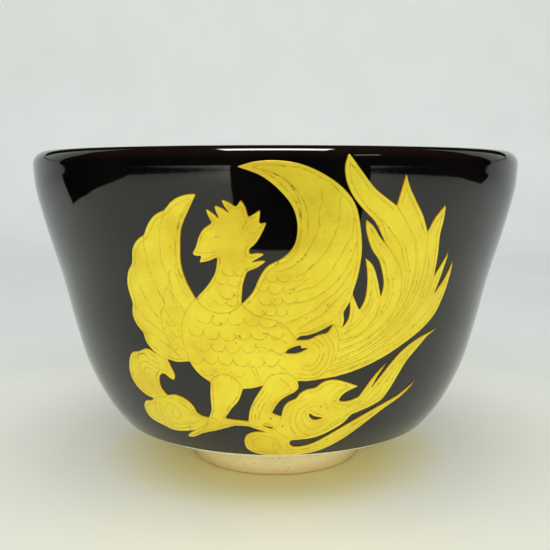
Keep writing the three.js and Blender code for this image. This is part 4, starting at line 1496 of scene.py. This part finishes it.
turns = np.linspace(math.radians(FRONT_FROM), math.radians(FRONT_TO), 40)
round_front = [(TABLE_REACH * math.cos(turn), TABLE_REACH * math.sin(turn), 0) for turn in turns]
flat_sheet("table", [*LEFT_END, *round_front, *RIGHT_END], PALE)
bend = [
    (BACK_START + BACK_BEND * math.sin(turn), BACK_BEND - BACK_BEND * math.cos(turn))
    for turn in np.linspace(0, math.pi / 2, 13)
]
screen_depth = BACK_START + BACK_BEND
strip("backdrop", [*bend, (screen_depth, BACK_TOP)], BACK_HALF_WIDTH, PALE)
for name, inner, outer in (("left_screen", -0.66, -1.8), ("right_screen", 0.7, 1.8)):
    low_corners = [(x, screen_depth, SCREEN_LOW) for x in (outer, inner)]
    top_corners = [(x, screen_depth, SCREEN_TOP) for x in (inner, outer)]
    flat_sheet(name, low_corners + top_corners, PALE)
floor_line = [(-FLOOR_REACH, FLOOR_UNDER), (FLOOR_REACH, FLOOR_UNDER)]
wide_floor = strip("wide_floor", floor_line, FLOOR_REACH, PALE)
wide_floor.visible_glossy = False
print("table radius", TABLE_REACH, "backdrop top", BACK_TOP)

# %% [markdown]
# ## Two kinds of light
# A lamp that lights the clay well would also show in the glaze as a bright patch. So the lamps
# are of two kinds. Two small ones only show in shiny surfaces: they draw the thin light on the
# lip and the glint at the side. Two large ones only light what is matt. The surround works like
# the large ones, and the glaze does not see it.


# %% Surround and lamps
world = bpy.data.worlds.new("surround")
bpy.context.scene.world = world
world.use_nodes = True
surround = world.node_tree.nodes["Background"].inputs
surround["Color"].default_value = (0.90, 0.94, 0.94, 1)
surround["Strength"].default_value = 0.56
world.cycles_visibility.glossy = False


def soft_box(name, place, aim, width, depth, watts, colour):
    """A rectangular lamp that faces a point."""
    lamp = bpy.data.lights.new(name, "AREA")
    lamp.shape = "RECTANGLE"
    lamp.size, lamp.size_y = width, depth
    lamp.energy = watts
    lamp.color = colour
    box = bpy.data.objects.new(name, lamp)
    box.location = place
    box.rotation_euler = (Vector(aim) - Vector(place)).to_track_quat("-Z", "Y").to_euler()
    bpy.context.scene.collection.objects.link(box)
    return box


WALL_POINT = (0, 0, 0.08)
GLEAMS = [
    ("overhead_gleam", (0, 0.02, 1.0), WALL_POINT, 0.45, 0.25, 5.6, (1, 0.97, 0.86)),
    ("side_window", (0.53, -0.53, 0.79), WALL_POINT, 0.28, 0.06, 0.2, (0.9, 0.97, 1)),
]
FILLS = [
    ("front_fill", (0.05, -0.8, 0.2), (0, 0, 0.02), 0.7, 0.3, 3.4, (1, 0.99, 0.94)),
    ("ceiling_fill", (0, -0.3, 1.2), (0, 0, 0), 0.9, 0.9, 4.9, (1, 0.99, 0.95)),
]
for gleam in GLEAMS:
    soft_box(*gleam).visible_diffuse = False
for fill in FILLS:
    soft_box(*fill).visible_glossy = False
print("lamps:", len(GLEAMS) + len(FILLS))

# %% [markdown]
# A dark card stands on the table in front of the bowl, where the viewer would be. Only the
# glaze sees it: it gives the deep black shape in the middle of the front wall, and hides
# nothing and shades nothing.

# %% Dark card
CARD_DEPTH = -0.135
CARD_LEFT, CARD_RIGHT = -0.035, 0.087
CARD_TOP = 0.5

black_card, _, card_shader = new_finish("black_card")
card_shader.inputs["Base Color"].default_value = (0, 0, 0, 1)
card_shader.inputs["Specular IOR Level"].default_value = 0
corners = [(CARD_LEFT, 0), (CARD_RIGHT, 0), (CARD_RIGHT, CARD_TOP), (CARD_LEFT, CARD_TOP)]
card = flat_sheet("dark_card", [(x, CARD_DEPTH, z) for x, z in corners], black_card)
card.visible_camera = card.visible_diffuse = card.visible_shadow = False

bpy.context.scene.view_settings.view_transform = "Standard"
